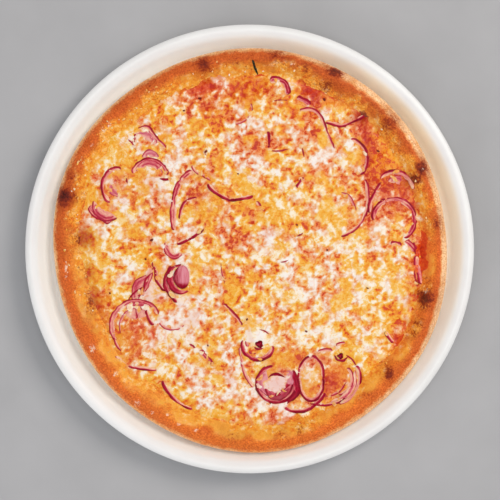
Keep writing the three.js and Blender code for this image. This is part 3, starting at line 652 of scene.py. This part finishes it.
@lru_cache(None)
def cooked_onion():
    """Red onion, sliced across and softened in the oven: a crimson to near-black line where each
    layer's skin is cut, pink flesh between with fibres that run along the slice, and a wet shine."""
    recipe = Recipe("red_onion_sliced_and_baked")
    lie = recipe.add("CombineXYZ", {"X": recipe.marked("across"), "Y": recipe.marked("along")})
    fibre = recipe.add("TexNoise", {"Vector": lie, "Scale": 2.6, "Detail": 3, "Roughness": 0.6}, "Fac")
    tone = recipe.swayed(recipe.marked("dark"), fibre, 0.6)
    flesh = recipe.steps(tone, (0, "F2D0AC"), (0.14, "EDB496"), (0.28, "DE8A80"), (0.42, "CA4C5C"),
                         (0.55, "B41838"), (0.74, "920A26"), (1, "5E0214"))
    return recipe.finish({
        "Base Color": recipe.mix(recipe.marked("mauve"), flesh, "DA8E9C"),
        "Roughness": 0.24, "IOR": 1.36, "Specular IOR Level": 0.11, "Normal": recipe.bump(fibre, 0.4, 0.25),
        "Subsurface Weight": 0.2, "Subsurface Scale": 0.8 * MM, "Subsurface Radius": (1, 0.5, 0.5)})


def dried_herb():
    """A herb leaf dried and charred: nearly black green, with a crumbling matte face. Where it is
    marked "ruddy" it has soaked up tomato and is maroon instead."""
    recipe = Recipe("herb_dried")
    grain = recipe.noise(0.8, 2)
    leaf = recipe.steps(grain, (0.35, "17120E"), (0.55, "2C2A1E"), (0.75, "66684E"))
    return recipe.finish({
        "Base Color": recipe.mix(recipe.marked("ruddy"), leaf, "701C12"),
        "Roughness": 0.7, "IOR": 1.4, "Specular IOR Level": 0.15, "Normal": recipe.bump(grain, 0.8, 0.4)})


def studio_floor():
    """A plain pale floor, painted matte, with a faint mottle 60 mm across."""
    recipe = Recipe("floor_matte_pale")
    paint = recipe.steps(recipe.noise(60, 3), (0.3, "A6A6A8"), (0.7, "ADADAF"))
    return recipe.finish({"Base Color": paint, "Roughness": 0.8})


# Making pieces

def new_object(name, bm, material):
    mesh = bpy.data.meshes.new(name)
    bm.to_mesh(mesh)
    bm.free()
    mesh.materials.append(material)
    thing = bpy.data.objects.new(name, mesh)
    bpy.context.collection.objects.link(thing)
    return thing


def smooth_object(name, bm, material):
    """Makes a closed shape in millimetres into a smooth object."""
    bmesh.ops.recalc_face_normals(bm, faces=bm.faces)
    bmesh.ops.scale(bm, vec=(MM, MM, MM), verts=bm.verts)
    piece = new_object(name, bm, material)
    piece.data.shade_smooth()
    return piece


def place_piece(piece, slot, *nodes):
    """Hangs the finished piece on the root and hides the solids that it stands for. The slot is not used.
    """
    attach(piece, "root")
    if nodes:
        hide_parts(*nodes)
    return piece


def finish_piece(name, bm, material, slot, *nodes):
    return place_piece(smooth_object(name, bm, material), slot, *nodes)


def joined(name, parts):
    """Makes many small things of one kind into one piece."""
    with bpy.context.temp_override(active_object=parts[0], selected_editable_objects=parts):
        bpy.ops.object.join()
    parts[0].name = parts[0].data.name = name
    return parts[0]


def corners_of(piece):
    """The places of a piece's corners, in millimetres: all x, all y and all z."""
    places = np.empty(len(piece.data.vertices) * 3, np.float32)
    piece.data.vertices.foreach_get("co", places)
    return places.reshape(-1, 3).astype(float).T / MM


def move_corners(piece, x, y, z):
    places = np.stack([x, y, z], axis=1) * MM
    piece.data.vertices.foreach_set("co", places.astype(np.float32).ravel())
    piece.data.update()


def mark(piece, **marks):
    """Stores values for the material to read: one for each corner, or one for all."""
    count = len(piece.data.vertices)
    for name, values in marks.items():
        layer = piece.data.attributes.new(name, "FLOAT", "POINT")
        layer.data.foreach_set("value", np.full(count, values, np.float32))


def spun(profile, steps):
    """A solid of revolution about Z from (radius, height) points that start and end on the axis."""
    bm = bmesh.new()
    line = [bm.verts.new((radius, 0, height)) for radius, height in profile]
    edges = [bm.edges.new(pair) for pair in zip(line, line[1:])]
    bmesh.ops.spin(bm, geom=line + edges, cent=(0, 0, 0), axis=(0, 0, 1), angle=math.tau,
                   steps=steps, use_merge=True)
    bmesh.ops.remove_doubles(bm, verts=bm.verts, dist=0.001)
    return bm


# Plate

def make_plate():
    profile = PLATE_FOOT + list(catmull(PLATE_UNDERSIDE, 8)) + list(catmull(PLATE_EDGE, 8)[1:])
    profile += [(120, WELL_TOP), (80, WELL_TOP), (0, WELL_TOP)]
    piece = finish_piece("white_plate", spun(profile, steps=256), glazed_porcelain(), "porcelain", "plate")
    x, y, z = corners_of(piece)
    # The well's upper face, out to where the wall turns over into the lip
    # Painted light: towards 30 degrees, where the well lies in shade, a painted warm bounce from the crust;
    # on the rest of the well a painted brightening
    bounce_side = toward(angle_of(x, y), 30, 62)
    in_well = smooth(np.hypot(x, y), 154.5, 149) * smooth(z, 5, 6.5)
    mark(piece, well=bounce_side * in_well, thick=(1 - bounce_side) * in_well)


# Dough

RIM_PROFILE = catmull(RIM_POINTS, 9)
RIM_TOP = RIM_PROFILE[np.argmin(RIM_PROFILE[:, 0]):]


def scorching(x, y, breadth):
    """How scorched the pizza is at a place, from 0 to 1, with ragged borders."""
    reach = breadth * (1 + 0.45 * rough_relief(x, y, 4, 41))
    return place_sums(x, y, SCORCHES, reach, np.maximum)[0]


def rim_swell(x, y, height):
    """How far the skin stands out from its even form: not at all on the base, fully on the rim."""
    toe = toe_radius(angle_of(x, y))
    freedom = held((height - 4) / 7.5) * smooth(np.hypot(x, y), toe, toe + 5)
    swell = 0.55 * relief(x, y, 17, 11) + 0.5 * rough_relief(x, y, 9, 12)
    swell = swell + 0.12 * rough_relief(x, y, 2.4, 16)
    for direction, inset, size, rise in BLISTERS:
        cx, cy = at_angle(outer_radius(direction) - inset, direction)
        swell = swell + rise * hump(np.hypot(x - cx, y - cy) / size)
    return freedom * swell


def crust_top(x, y):
    """Height of the dough's upper face at a place."""
    angle = angle_of(x, y)
    stretch = (RIM_WIDTH + RIM_REACH) / (rim_width(angle) + RIM_REACH)
    inset = (outer_radius(angle) - np.hypot(x, y)) * stretch
    height = np.interp(inset, RIM_TOP[:, 0], RIM_TOP[:, 1])
    return np.where(inset < 0, 0, np.minimum(BASE_Z + height + rim_swell(x, y, height), TOP_LIMIT))


def make_crust():
    profile = [(0, 0), (PIZZA_RADIUS - 27, 0)]
    profile += [(PIZZA_RADIUS - inset, height) for inset, height in RIM_PROFILE]
    profile += [(60, 4), (0, 4)]
    piece = finish_piece("baked_crust", spun(profile, steps=900), baked_dough(), "baked_dough", "crust")
    x, y, z = corners_of(piece)
    # The even ring is drawn in or out to the real outline, and then it swells
    nominal, angle = np.hypot(x, y), angle_of(x, y)
    edge = PIZZA_RADIUS - RIM_WIDTH - RIM_REACH
    stretch = (rim_width(angle) + RIM_REACH) / (RIM_WIDTH + RIM_REACH)
    wanted = np.where(nominal > edge, outer_radius(angle) - (PIZZA_RADIUS - nominal) * stretch,
                      nominal * (toe_radius(angle) - RIM_REACH) / edge)
    scale = np.where(nominal > 1, wanted / np.maximum(nominal, 1), 1)
    x, y = x * scale, y * scale
    z = BASE_Z + z + rim_swell(x, y, z) * (nominal > edge)
    room = TOP_LIMIT - SOFT_TOP
    z = np.where(z > SOFT_TOP, SOFT_TOP + room * (1 - np.exp(-(z - SOFT_TOP) / room)), z)
    move_corners(piece, x, y, z)
    # How far each corner is across the rim, as the oven's heat made it. Towards 8 degrees, facing the
    # window,
    # the paler outer colours reach further in: partly a less-baked side, partly a painted highlight
    share = (outer_radius(angle) - np.hypot(x, y)) / rim_width(angle)
    share = share * (1 - 0.16 * toward(angle, 130, 50) - 0.35 * toward(angle, 62, 28))
    lit_side = 0.24 * toward(angle, 8, 56)
    below = smooth(z - BASE_Z, 9, 6)
    across = held((share - lit_side) / (1 - lit_side)) * (1 - below)
    lobes = 0.55 * rough_relief(x, y, 11, 48, 3) * smooth(across, 0.3, 0.6)
    beside = np.hypot(x, y) - cheese_radius(angle)
    splash = 0.85 * smooth(beside, 8, 0) * smooth(rough_relief(x, y, 8, 49, 3) - 0.06 * beside, -0.5, 0.1)
    # Partly painted light: the inner slope towards 20 degrees and the outer side towards 268 degrees face
    # away from the window and are painted lighter and more orange against their shade; the south side is
    # also less baked
    warm = (0.35 * toward(angle, 20, 60) * smooth(across, 0.2, 0.6)
            + 0.32 * toward(angle, 268, 48) * smooth(across, 0.7, 0.3))
    brown = rim_sum(angle, BROWN_STRETCHES, 0.25 + 0.5 * rough_relief(x, y, 14, 47))
    deep = 0.35 * toward(angle, 68, 36)
    brown = brown * smooth(across, 0.06, 0.2) * smooth(across, 0.8 + deep, 0.4 + deep)
    facing_up = np.where(share < 0.3, smooth(z - BASE_Z, 6.5, 12.5), 1)
    brown = np.maximum(brown, 1.3 * scorching(x, y, 1.9) ** 0.7 * facing_up)
    specks = 0.3 * smooth(rough_relief(x, y, 12, 45), 0.1, 0.6) * smooth(across, 0.1, 0.3)
    mark(piece, across=across + lobes, stain=1.5 * edge_redness(angle) * smooth(across, 0.55, 0.95),
         splash=splash, warm=warm, scorch=np.maximum(scorching(x, y, SCORCH_REACH) * facing_up, specks),
         brown=np.clip(brown, 0, 1.4), flour=place_sums(x, y, FLOUR, 1, np.maximum)[0])


# Where the onion lies

def arc_line(centre, half_size, start, end):
    turns = np.radians(np.linspace(start, end, 120))
    return np.array(centre) + np.array(half_size) * np.stack([np.cos(turns), np.sin(turns)], axis=1)


def strip_taper(share):
    """Even in width, with a rounded end over the last 0.14 of its length."""
    from_end = held(np.minimum(share, 1 - share) / 0.14)
    return 0.25 + 0.75 * np.sqrt(held(1 - (1 - from_end) ** 2))


def petal_taper(share):
    """Pointed at both ends and broad in the middle."""
    return 0.1 + 0.9 * np.sin(np.pi * share) ** 0.8


def onion_slices():
    """Each slice that has a solid: its node, middle line, width, darkness, depth, height and taper."""
    for name, width, dark, sink, *arc in ARCS:
        yield "onion_" + name, arc_line(*arc), width, dark, sink, ONION_HEIGHT, strip_taper
    for name, width, dark, sink, points in STRIPS:
        yield "onion_" + name, catmull(points, 16), width, dark, sink, ONION_HEIGHT, strip_taper
    for name, width, dark, sink, points in PETALS:
        yield "onion_" + name, catmull(points, 16), width, dark, sink, PETAL_HEIGHT, petal_taper


# Sauce and cheese

grid_line = np.arange(-GRID_REACH, GRID_REACH + GRID_STEP / 2, GRID_STEP)
grid_x, grid_y = np.meshgrid(grid_line, grid_line, indexing="ij")
grid_angle = angle_of(grid_x, grid_y)
grid_radius = np.hypot(grid_x, grid_y)


def from_grid(values, x, y):
    """Reads a gridded field between its points, and beyond the grid at its border."""
    last = len(grid_line) - 1.001
    gx, gy = (np.clip((np.asarray(place) + GRID_REACH) / GRID_STEP, 0, last) for place in (x, y))
    i, j = np.floor(gx).astype(int), np.floor(gy).astype(int)
    return blended(values, i, j, i + 1, j + 1, gx - i, gy - j)


def window_round(x, y, reach):
    """The part of the grid within so many steps of a place."""
    i, j = int((x + GRID_REACH) / GRID_STEP), int((y + GRID_REACH) / GRID_STEP)
    return slice(i - reach, i + reach + 1), slice(j - reach, j + reach + 1)


def softened(values, times):
    for _ in range(times):
        wide = np.pad(values, 1, mode="edge")
        beside = wide[:-2, 1:-1] + wide[2:, 1:-1] + wide[1:-1, :-2] + wide[1:-1, 2:]
        values = (beside + 4 * values) / 8
    return values


def scatter_shreds(count, seed, lengths, widths):
    """Relief of grated shreds that fell at random and half melted: 0 between them, 1 on the tallest."""
    random = np.random.default_rng(seed)
    field = np.zeros_like(grid_x)
    for _ in range(count):
        angle = random.uniform(0, math.tau)
        radius = STREWN_RADIUS * math.sqrt(random.uniform())
        cx, cy = radius * math.cos(angle), radius * math.sin(angle)
        lie = random.uniform(0, math.pi)
        length, width, height = random.uniform(*lengths), random.uniform(*widths), random.uniform(0.35, 1)
        window = window_round(cx, cy, int(length / GRID_STEP) + 2)
        dx, dy = grid_x[window] - cx, grid_y[window] - cy
        u = (dx * math.cos(lie) + dy * math.sin(lie)) / length
        v = (dy * math.cos(lie) - dx * math.sin(lie)) / width
        v = v + random.uniform(-0.6, 0.6) * u * u
        field[window] = np.maximum(field[window], height * np.sqrt(held(1 - u * u - v * v)))
    return field


def onion_nearness():
    """How near each place is to a slice of onion, from 0 to 1: its juice stains the cheese there."""
    field = np.zeros_like(grid_x)
    for _, line, width, *_ in onion_slices():
        line, _ = evenly(line, int(evenly(line, 2)[1] / GRID_STEP) + 2)
        i, j = ((line + GRID_REACH) / GRID_STEP).round().astype(int).T
        field[i, j] = np.maximum(field[i, j], width)
    return held(softened(field, 9) * 1.1)


def evened(values, where):
    """Values spread evenly from 0 to 1 by their rank among those in the chosen places, of which
    every fiftieth is enough."""
    ranked = np.sort(values[where])[::50]
    return np.interp(values, ranked, np.linspace(0, 1, len(ranked)))


def cheese_fields(dough_top):
    """The cheese on the grid: its height, and how white its curd is, how red, pink and buttery."""
    x, y = grid_x, grid_y
    wx = x + 2 * relief(x, y, 6, 51) + relief(x, y, 2.6, 52)
    wy = y + 2 * relief(x, y, 6, 53) + relief(x, y, 2.6, 54)
    clumps = softened(scatter_shreds(1500, 6, (2.5, 6.5), (1.2, 2.4)), 2)
    shreds = softened(scatter_shreds(7000, 7, (1.2, 3.4), (0.6, 1.3)), 1)
    mottle = rough_relief(wx, wy, 4.2, 61, 3, 0.7)
    patches = rough_relief(x, y, 24, 71, 3, 0.7)
    pits = smooth(rough_relief(wx, wy, 4, 65, 2, 0.5), 0.3, 0.55)
    # The places given one by one in the tables
    white, red, pink = place_sums(x, y, CHEESE_PLACES, 1 + 0.3 * rough_relief(x, y, 7, 77))
    edge = cheese_radius(grid_angle) - grid_radius
    rim = smooth(edge, 12, 2)
    plain = held(smooth(white, 0.4, 0.75) + smooth(pink, 0.35, 0.7))
    # How white the curd is, from what fell there, then evened out, pooled with fat and scorched
    lively = (1 - 0.35 * rim) * (1 - 0.6 * plain)
    curd = (lively * (0.36 * clumps + 0.34 * shreds + 0.42 * mottle + 0.36 * patches - 0.3 * pits)
            + 0.35 * plain + 0.6 * white)
    curd = evened(curd, edge > 0)
    pool = smooth(rough_relief(x, y, 13, 95, 3), 0.12, 0.4) * (1 - plain)
    curd = curd + 0.65 * pool * (0.46 - curd)
    curd = curd + (0.4 * rim + 0.45 * smooth(edge, 6, 1)) * (0.5 - curd)
    curd = curd * (1 - held(1.15 * scorching(x, y, SCORCH_REACH)))
    golden = (0.55 + 1.9 * rough_relief(wx, wy, 7, 66, 3, 0.7) + 1.2 * pool + 0.6 * relief(x, y, 30, 74)
              + 0.6 * rim - 0.4 * pink + place_sums(x, y, GOLDEN_PLACES)[0])
    # Its height: curds on the sheet, a thin lapped edge, and a film where it ran up the rim
    height = CHEESE_Z - 0.45 + (1 - 0.7 * plain) * (0.55 * clumps + 0.55 * shreds + 0.45 * mottle)
    height = height + 0.7 * relief(x, y, 20, 81) + 0.25 * white + 0.4 * plain
    height = height + place_sums(x, y, CHEESE_DROPS)[0] - 0.5 * held(red)
    height = CHEESE_LOW + (height - CHEESE_LOW) * smooth(edge, -1.4, 4.5)
    film = dough_top + 0.1 + 0.4 * shreds + 0.35 * clumps + 0.3 * mottle
    film = film - 0.9 * smooth(edge, 8, 0) - 1.6 * smooth(edge, 0.6, -2)
    height = np.where(grid_radius > toe_radius(grid_angle) - 3, np.maximum(height, film), height)
    # Stains of onion juice and of tomato
    pink = (pink + onion_nearness() * (0.75 + 0.6 * mottle)
            + 0.35 * smooth(rough_relief(x, y, 13, 92, 3), 0.3, 0.6))
    specks = smooth(rough_relief(wx, wy, 3.4, 93, 2), 0.42, 0.6) * smooth(relief(x, y, 16, 94), -0.2, 0.5)
    red = held(red + 0.8 * edge_redness(grid_angle) * smooth(edge, 12, 0)
               + 0.15 * smooth(rough_relief(x, y, 9, 91), 0.15, 0.6) + 0.75 * specks)
    return height, {"curd": curd, "red": red, "pink": held(pink * (1 - 0.8 * red)), "golden": held(golden)}


dough_height = crust_top(grid_x, grid_y)
cheese_height, cheese_marks = cheese_fields(dough_height)
sauce_reach = 4 - 8 * edge_redness(grid_angle) - 4 * rough_relief(grid_x, grid_y, 6, 103)
sauce_edge = grid_radius - toe_radius(grid_angle) + sauce_reach
sauce_height = np.maximum(SAUCE_Z, dough_height + 0.15) + 0.25 * rough_relief(grid_x, grid_y, 5, 101)
sauce_height = sauce_height - 2.5 * smooth(sauce_edge, -3, 3)
top_height = np.maximum(np.maximum(dough_height, sauce_height), cheese_height)


def make_sauce():
    rings = [(radius, SAUCE_Z) for radius in np.arange(SAUCE_RADIUS, 96, -0.7)]
    profile = [(0, SAUCE_LOW), (SAUCE_RADIUS, SAUCE_LOW)] + rings + [(60, SAUCE_Z), (0, SAUCE_Z)]
    piece = finish_piece("tomato_layer", spun(profile, steps=720), tomato_sauce(), "tomato_sauce", "sauce")
    x, y, z = corners_of(piece)
    scale = (toe_radius(angle_of(x, y)) + 6) / SAUCE_RADIUS
    x, y = x * scale, y * scale
    z = np.where(z > SAUCE_Z - 0.5, from_grid(sauce_height, x, y), z)
    move_corners(piece, x, y, np.maximum(z, SAUCE_LOW))


def make_cheese():
    bm = bmesh.new()
    bmesh.ops.create_grid(bm, x_segments=CHEESE_CELLS, y_segments=CHEESE_CELLS, size=CHEESE_REACH)
    x, y = np.array([v.co.xy for v in bm.verts]).T
    beyond = np.hypot(x, y) > cheese_radius(angle_of(x, y)) + 2.2
    bmesh.ops.delete(bm, geom=[v for v, out in zip(bm.verts, beyond) if out], context="VERTS")
    # The grid lies at height 0. A skirt down to -1 and a bottom close it
    skirt = bmesh.ops.extrude_edge_only(bm, edges=[e for e in bm.edges if e.is_boundary])["geom"]
    bmesh.ops.translate(bm, vec=(0, 0, -1), verts=[g for g in skirt if isinstance(g, bmesh.types.BMVert)])
    low_edges = [g for g in skirt if isinstance(g, bmesh.types.BMEdge) and g.is_boundary]
    bmesh.ops.contextual_create(bm, geom=low_edges)
    piece = finish_piece("cheese_sheet", bm, melted_cheese(), "melted_cheese", "cheese")
    x, y, z = corners_of(piece)
    move_corners(piece, x, y, np.where(z > -0.5, from_grid(cheese_height, x, y), FLOOR_Z + 0.6))
    marks = {name: from_grid(field, x, y) for name, field in cheese_marks.items()}
    mark(piece, **marks, toast=1.9 * scorching(x, y, SCORCH_REACH))


# Onion

def resting_line(line, width, sink):
    """Heights along a line at which a soft strip settles on what is there, and its sideways steps."""
    steps = np.gradient(line, axis=0)
    side = np.stack([-steps[:, 1], steps[:, 0]], axis=1)
    side /= np.linalg.norm(side, axis=1)[:, None]
    tracks = [line + side * shift * width / 2 for shift in (-0.8, 0, 0.8)]
    under = np.mean([from_grid(top_height, *track.T) for track in tracks], axis=0)
    # A strip is too stiff to follow every curd
    kernel = np.hanning(9)[1:-1]
    under = np.convolve(np.pad(under, 3, mode="edge"), kernel / kernel.sum(), mode="valid")
    # It settles in by a little everywhere, and unevenly, and by more where it lies deep
    dip = 0.3 + 0.8 * sink + (0.4 + 0.6 * sink) * relief(line[:, 0], line[:, 1], 7, 111)
    return under - dip, side


def raise_top(line, heights, width):
    """Adds a laid strip to the top surface, so that the next one passes over it."""
    for (x, y), height in zip(line, heights):
        window = window_round(x, y, int(width / 2 / GRID_STEP) + 1)
        near = np.hypot(grid_x[window] - x, grid_y[window] - y) < width / 2
        top_height[window] = np.where(near, np.maximum(top_height[window], height), top_height[window])


def tube(steps):
    """A round bar of unit radius and length 1 along Z, cut into even lengths."""
    bm = bmesh.new()
    bmesh.ops.create_cone(bm, cap_ends=True, segments=BAR_SIDES, radius1=1, radius2=1, depth=1)
    long_edges = [e for e in bm.edges if abs(e.verts[0].co.z - e.verts[1].co.z) > 0.5]
    bmesh.ops.subdivide_edges(bm, edges=long_edges, cuts=steps - 1, use_grid_fill=False)
    return bm


def drawn_out(value):
    """Rounds a bar's half circle into a flatter arch."""
    return np.sign(value) * np.abs(value) ** 0.85


# The lines of all strips laid so far, for the threads that melt over them
laid_lines = []


def bent_bar(name, line, width, height, taper, sink, lean, material, uneven=0.22, end_height=0):
    """Bends a bar along a line, flattens it and lays it on what is there. Gives the piece, its
    corners' places across and along it, its length and its widths."""
    length = evenly(line, 2)[1]
    steps = max(8, int(length / BAR_STEP))
    line, _ = evenly(line, steps + 1)
    piece = smooth_object(name, tube(steps), material)
    u, v, share = corners_of(piece)
    share = held(share + 0.5)
    widths = width * taper(share)
    heights = height * (end_height + (1 - end_height) * taper(share))
    base, side = resting_line(line, float(np.max(widths)), sink)
    tracks = (*line.T, base, *side.T)
    cx, cy, cz, sx, sy = (np.interp(share * steps, np.arange(steps + 1), track) for track in tracks)
    ripple = uneven * relief(line[0, 0] + share * length, u * 2, 3 - 2 * uneven, 121)
    aside = drawn_out(u) * widths / 2 * (1 + ripple)
    up = (np.sign(v) * np.abs(v) ** 0.6 + 0.3) * heights / 2 + 0.3 * (u * lean - abs(lean)) * heights
    move_corners(piece, cx + sx * aside, cy + sy * aside, cz + up)
    raise_top(line, base + np.max(heights) * 0.5, float(np.max(widths)) * 0.8)
    laid_lines.append(line)
    return piece, u, share, length, widths


def skin_side_of(line):
    """The skin is on the outside of a slice's bend: 1 to the left of its line, -1 to the right."""
    steps = np.diff(evenly(line, 12)[0], axis=0)
    return -1 if np.sum(steps[:-1, 0] * steps[1:, 1] - steps[:-1, 1] * steps[1:, 0]) > 0 else 1


def onion_slice(name, line, width, height, taper, dark, sink, flesh=0.24, mauve=0, end_height=0):
    """A slice of onion: a dark line at the skin, a fainter one at the next layer, and flesh that pales
    towards the inside of its bend."""
    skin = skin_side_of(line)
    piece, u, share, length, widths = bent_bar(
        name, line, width, height, taper, sink, skin, cooked_onion(), end_height=end_height)
    inward = (1 - drawn_out(u) * skin) / 2 * widths
    run = share * length
    # The skin's line is broader and darker on darker slices
    line_width = 0.1 + 1.5 * dark * dark
    fading = 0.85 + 0.3 * relief(run, 0 * run, 8, 132)
    outer_line = smooth(inward, line_width + 0.6, line_width) * fading
    inner_line = hump((inward - 2.6) / 0.6) * smooth(widths, 3.9, 4.6)
    inner_line = inner_line * (0.4 + 0.4 * relief(run, 0 * run, 11, 134))
    pale = flesh - 0.14 * smooth(inward, 2.8, 4.6) - 0.1 * smooth(widths, 4, 3.4) * smooth(inward, 1.2, 1.8)
    line_tone = 0.54 + 0.34 * dark
    tone = pale + (line_tone - pale) * held(np.maximum(outer_line, inner_line))
    tone = tone + 0.12 * relief(run, u, 6, 131)
    mauve_share = mauve * (1 - held(outer_line)) * (0.8 + 0.4 * relief(run, inward, 2.5, 135))
    mark(piece, across=u, along=run / 9, dark=np.clip(tone, 0.02, 1), mauve=mauve_share)
    return piece


def make_onion():
    for node, line, width, dark, sink, height, taper in onion_slices():
        piece = onion_slice(node + "_baked", line, width + SLUMP, height, taper, dark, sink, end_height=0.5)
        place_piece(piece, "red_onion", node)
    for core in CORES:
        make_core(*core)
    make_bud()
    fine = [(width, dark, catmull(points, 12)) for width, dark, points in SLIVERS]
    fine += [(width, dark, arc_line(*arc)) for width, dark, *arc in FINE_ARCS]
    slivers = [onion_slice("sliver", line, width, 1.1, petal_taper, dark, -0.25)
               for width, dark, line in fine]
    slivers += [onion_slice("skin", catmull(points, 12), width, height, petal_taper, dark, 0, flesh, mauve)
                for width, height, dark, flesh, mauve, points in SKINS]
    place_piece(joined("onion_slivers", slivers), "red_onion")


def make_core(name, centre, radius, wall):
    """The innermost ring of an onion with its sunken heart, dried nearly black."""
    profile = [(0, -1), (radius, -1), (radius + wall * 0.8, -0.3), (radius + wall, 0.3),
               (radius + wall * 0.5, wall), (radius, wall * 1.1), (radius * 0.6, 0.35), (0, 0.15)]
    node = "onion_" + name
    piece = finish_piece(node + "_baked", spun(profile, steps=40), cooked_onion(), "red_onion", node)
    x, y, z = corners_of(piece)
    wobble = 0.85 + 0.35 * relief(x, y, 1.5, 141)
    base = float(from_grid(top_height, *centre))
    move_corners(piece, centre[0] + x * wobble, centre[1] + y * wobble, base + z)
    ring = hump((np.hypot(x, y) - radius) / wall)
    mark(piece, across=np.hypot(x, y), along=np.arctan2(y, x),
         dark=held(0.7 + 0.3 * ring + 0.3 * relief(x, y, 1.2, 142)))


def make_bud():
    """The onion's inner bud, lying on its side, ribbed from end to end."""
    bm = bmesh.new()
    bmesh.ops.create_uvsphere(bm, u_segments=64, v_segments=40, radius=1)
    piece = finish_piece("onion_bud_baked", bm, cooked_onion(), "red_onion", "onion_bud")
    x, y, z = corners_of(piece)
    turn = np.arctan2(z, x)
    girth = 1 + 0.02 * rough_relief(turn * 9, y, 1.6, 145, 2)
    base = float(from_grid(top_height, *BUD_CENTRE)) + BUD_HEIGHT * 0.1
    move_corners(piece, BUD_CENTRE[0] + x * girth * BUD_HALF_SIZE[0] + 0.8 * (y * y - 0.5),
                 BUD_CENTRE[1] + y * BUD_HALF_SIZE[1], base + z * girth * BUD_HEIGHT / 2)
    outer_coat = held(smooth(x, -0.25, -0.6) + smooth(y, -0.35, -0.8))
    edge = smooth(np.hypot(x, y), 0.8, 1)
    streak = rough_relief(turn * 9, y * 0.8, 1.1, 146, 3)
    mark(piece, across=turn * 4, along=y * 0.6,
         dark=held(0.4 + 0.2 * streak + 0.34 * outer_coat + 0.1 * edge),
         mauve=np.clip(0.75 - 0.9 * outer_coat - 0.7 * streak, 0, 0.85))


# Threads, crumbs and herb

def make_cheese_threads():
    """Threads of cheese that melted over the onion."""
    random = np.random.default_rng(17)
    threads = []
    for line in [laid_lines[k] for k in random.integers(0, len(laid_lines), THREADS)]:
        middle = line[random.integers(1, len(line) - 1)] + random.uniform(-0.8, 0.8, 2)
        lie, half, bend = random.uniform(0, math.tau), random.uniform(1.2, 3.4), random.uniform(-1.2, 1.2)
        width, milk, butter = random.uniform(1.4, 3), random.uniform(0.3, 0.75), random.uniform(0.2, 1)
        along, aside = np.array([math.cos(lie), math.sin(lie)]), np.array([-math.sin(lie), math.cos(lie)])
        points = [middle - along * half, middle + aside * bend, middle + along * half]
        line = catmull(points, 8)
        thread = bent_bar("thread", line, width, 0.5, petal_taper, -0.1, 0, melted_cheese(), 0.7)[0]
        mark(thread, curd=milk, red=0, pink=0.15, golden=butter)
        threads.append(thread)
    place_piece(joined("cheese_threads", threads), "melted_cheese")


def small_bit(x, y, half_sizes, turn, lift, material, **marks):
    """A small flat bit that lies on what is there."""
    bm = bmesh.new()
    bmesh.ops.create_icosphere(bm, subdivisions=2, radius=1)
    bmesh.ops.scale(bm, vec=half_sizes, verts=bm.verts)
    bmesh.ops.rotate(bm, cent=(0, 0, 0), matrix=Matrix.Rotation(turn, 3, "Z"), verts=bm.verts)
    bmesh.ops.translate(bm, vec=(x, y, float(from_grid(top_height, x, y)) + lift), verts=bm.verts)
    bit = smooth_object("bit", bm, material)
    mark(bit, **marks)
    return bit


def make_cheese_crumbs():
    """Small bits of cheese that missed the topping and melted on the rim's inner slope."""
    random = np.random.default_rng(29)
    crumbs = []
    for _ in range(CRUMBS):
        strewn = random.uniform() < 0.6
        angle = random.normal(145, 30) if strewn else random.uniform(0, 360)
        x, y = at_angle(cheese_radius(angle) + random.uniform(-3, 6 if strewn else 1), angle)
        size = random.uniform(0.3, 0.8)
        half_sizes = (size * random.uniform(1, 2), size * random.uniform(0.7, 1), 0.4)
        crumbs.append(small_bit(
            x, y, half_sizes, random.uniform(0, math.pi), 0.05, melted_cheese(),
            curd=random.uniform(0.3, 0.8), red=0, pink=0, golden=random.uniform(0.5, 1)))
    place_piece(joined("cheese_crumbs", crumbs), "melted_cheese")


def make_herb():
    material = dried_herb()
    line = catmull(LEAF_LINE, 16)
    leaf = bent_bar("herb_needle_baked", line, LEAF_WIDTH, LEAF_HEIGHT, petal_taper, 0, 0, material)[0]
    place_piece(leaf, "dried_herb", "herb_needle")
    random = np.random.default_rng(23)
    flecks = []
    for x, y, size in FLECKS:
        half_sizes = (size * random.uniform(1.1, 1.8), size * random.uniform(0.8, 1.2), 0.35)
        flecks.append(small_bit(x, y, half_sizes, random.uniform(0, math.pi), 0.15, material, ruddy=0.95))
    place_piece(joined("herb_flecks", flecks), "dried_herb")


# Stage, light and camera

def make_floor():
    bm = bmesh.new()
    below = Matrix.Translation((0, 0, -FLOOR_DROP))
    bmesh.ops.create_grid(bm, x_segments=2, y_segments=2, size=FLOOR_HALF_SIZE, matrix=below)
    floor = new_object("floor", bm, studio_floor())


def light_scene():
    for name, place, size, power, colour in LIGHTS:
        data = bpy.data.lights.new(name, "AREA")
        data.size = size
        data.energy = power
        data.color = linear(colour)[:3]
        lamp = bpy.data.objects.new(name, data)
        lamp.location = place
        lamp.rotation_euler = (-Vector(place)).to_track_quat("-Z", "Y").to_euler()
        bpy.context.collection.objects.link(lamp)
    world = bpy.data.worlds.new("studio")
    world.use_nodes = True
    background = world.node_tree.nodes["Background"]
    background.inputs["Color"].default_value = linear(ROOM_COLOUR)
    background.inputs["Strength"].default_value = ROOM_LIGHT
    bpy.context.scene.world = world
    bpy.context.scene.view_settings.view_transform = "Standard"


def place_camera():
    """Straight above, as the picture was taken: 500 pixels are 356 mm at the height of the lip."""
    data = bpy.data.cameras.new("camera")
    data.sensor_width = SENSOR_WIDTH
    data.lens = LENS
    camera = bpy.data.objects.new("camera", data)
    camera.location = CAMERA_PLACE
    bpy.context.collection.objects.link(camera)
    bpy.context.scene.camera = camera


make_plate()
make_crust()
make_sauce()
make_cheese()
make_onion()
make_cheese_threads()
make_cheese_crumbs()
make_herb()
make_floor()
light_scene()
place_camera()
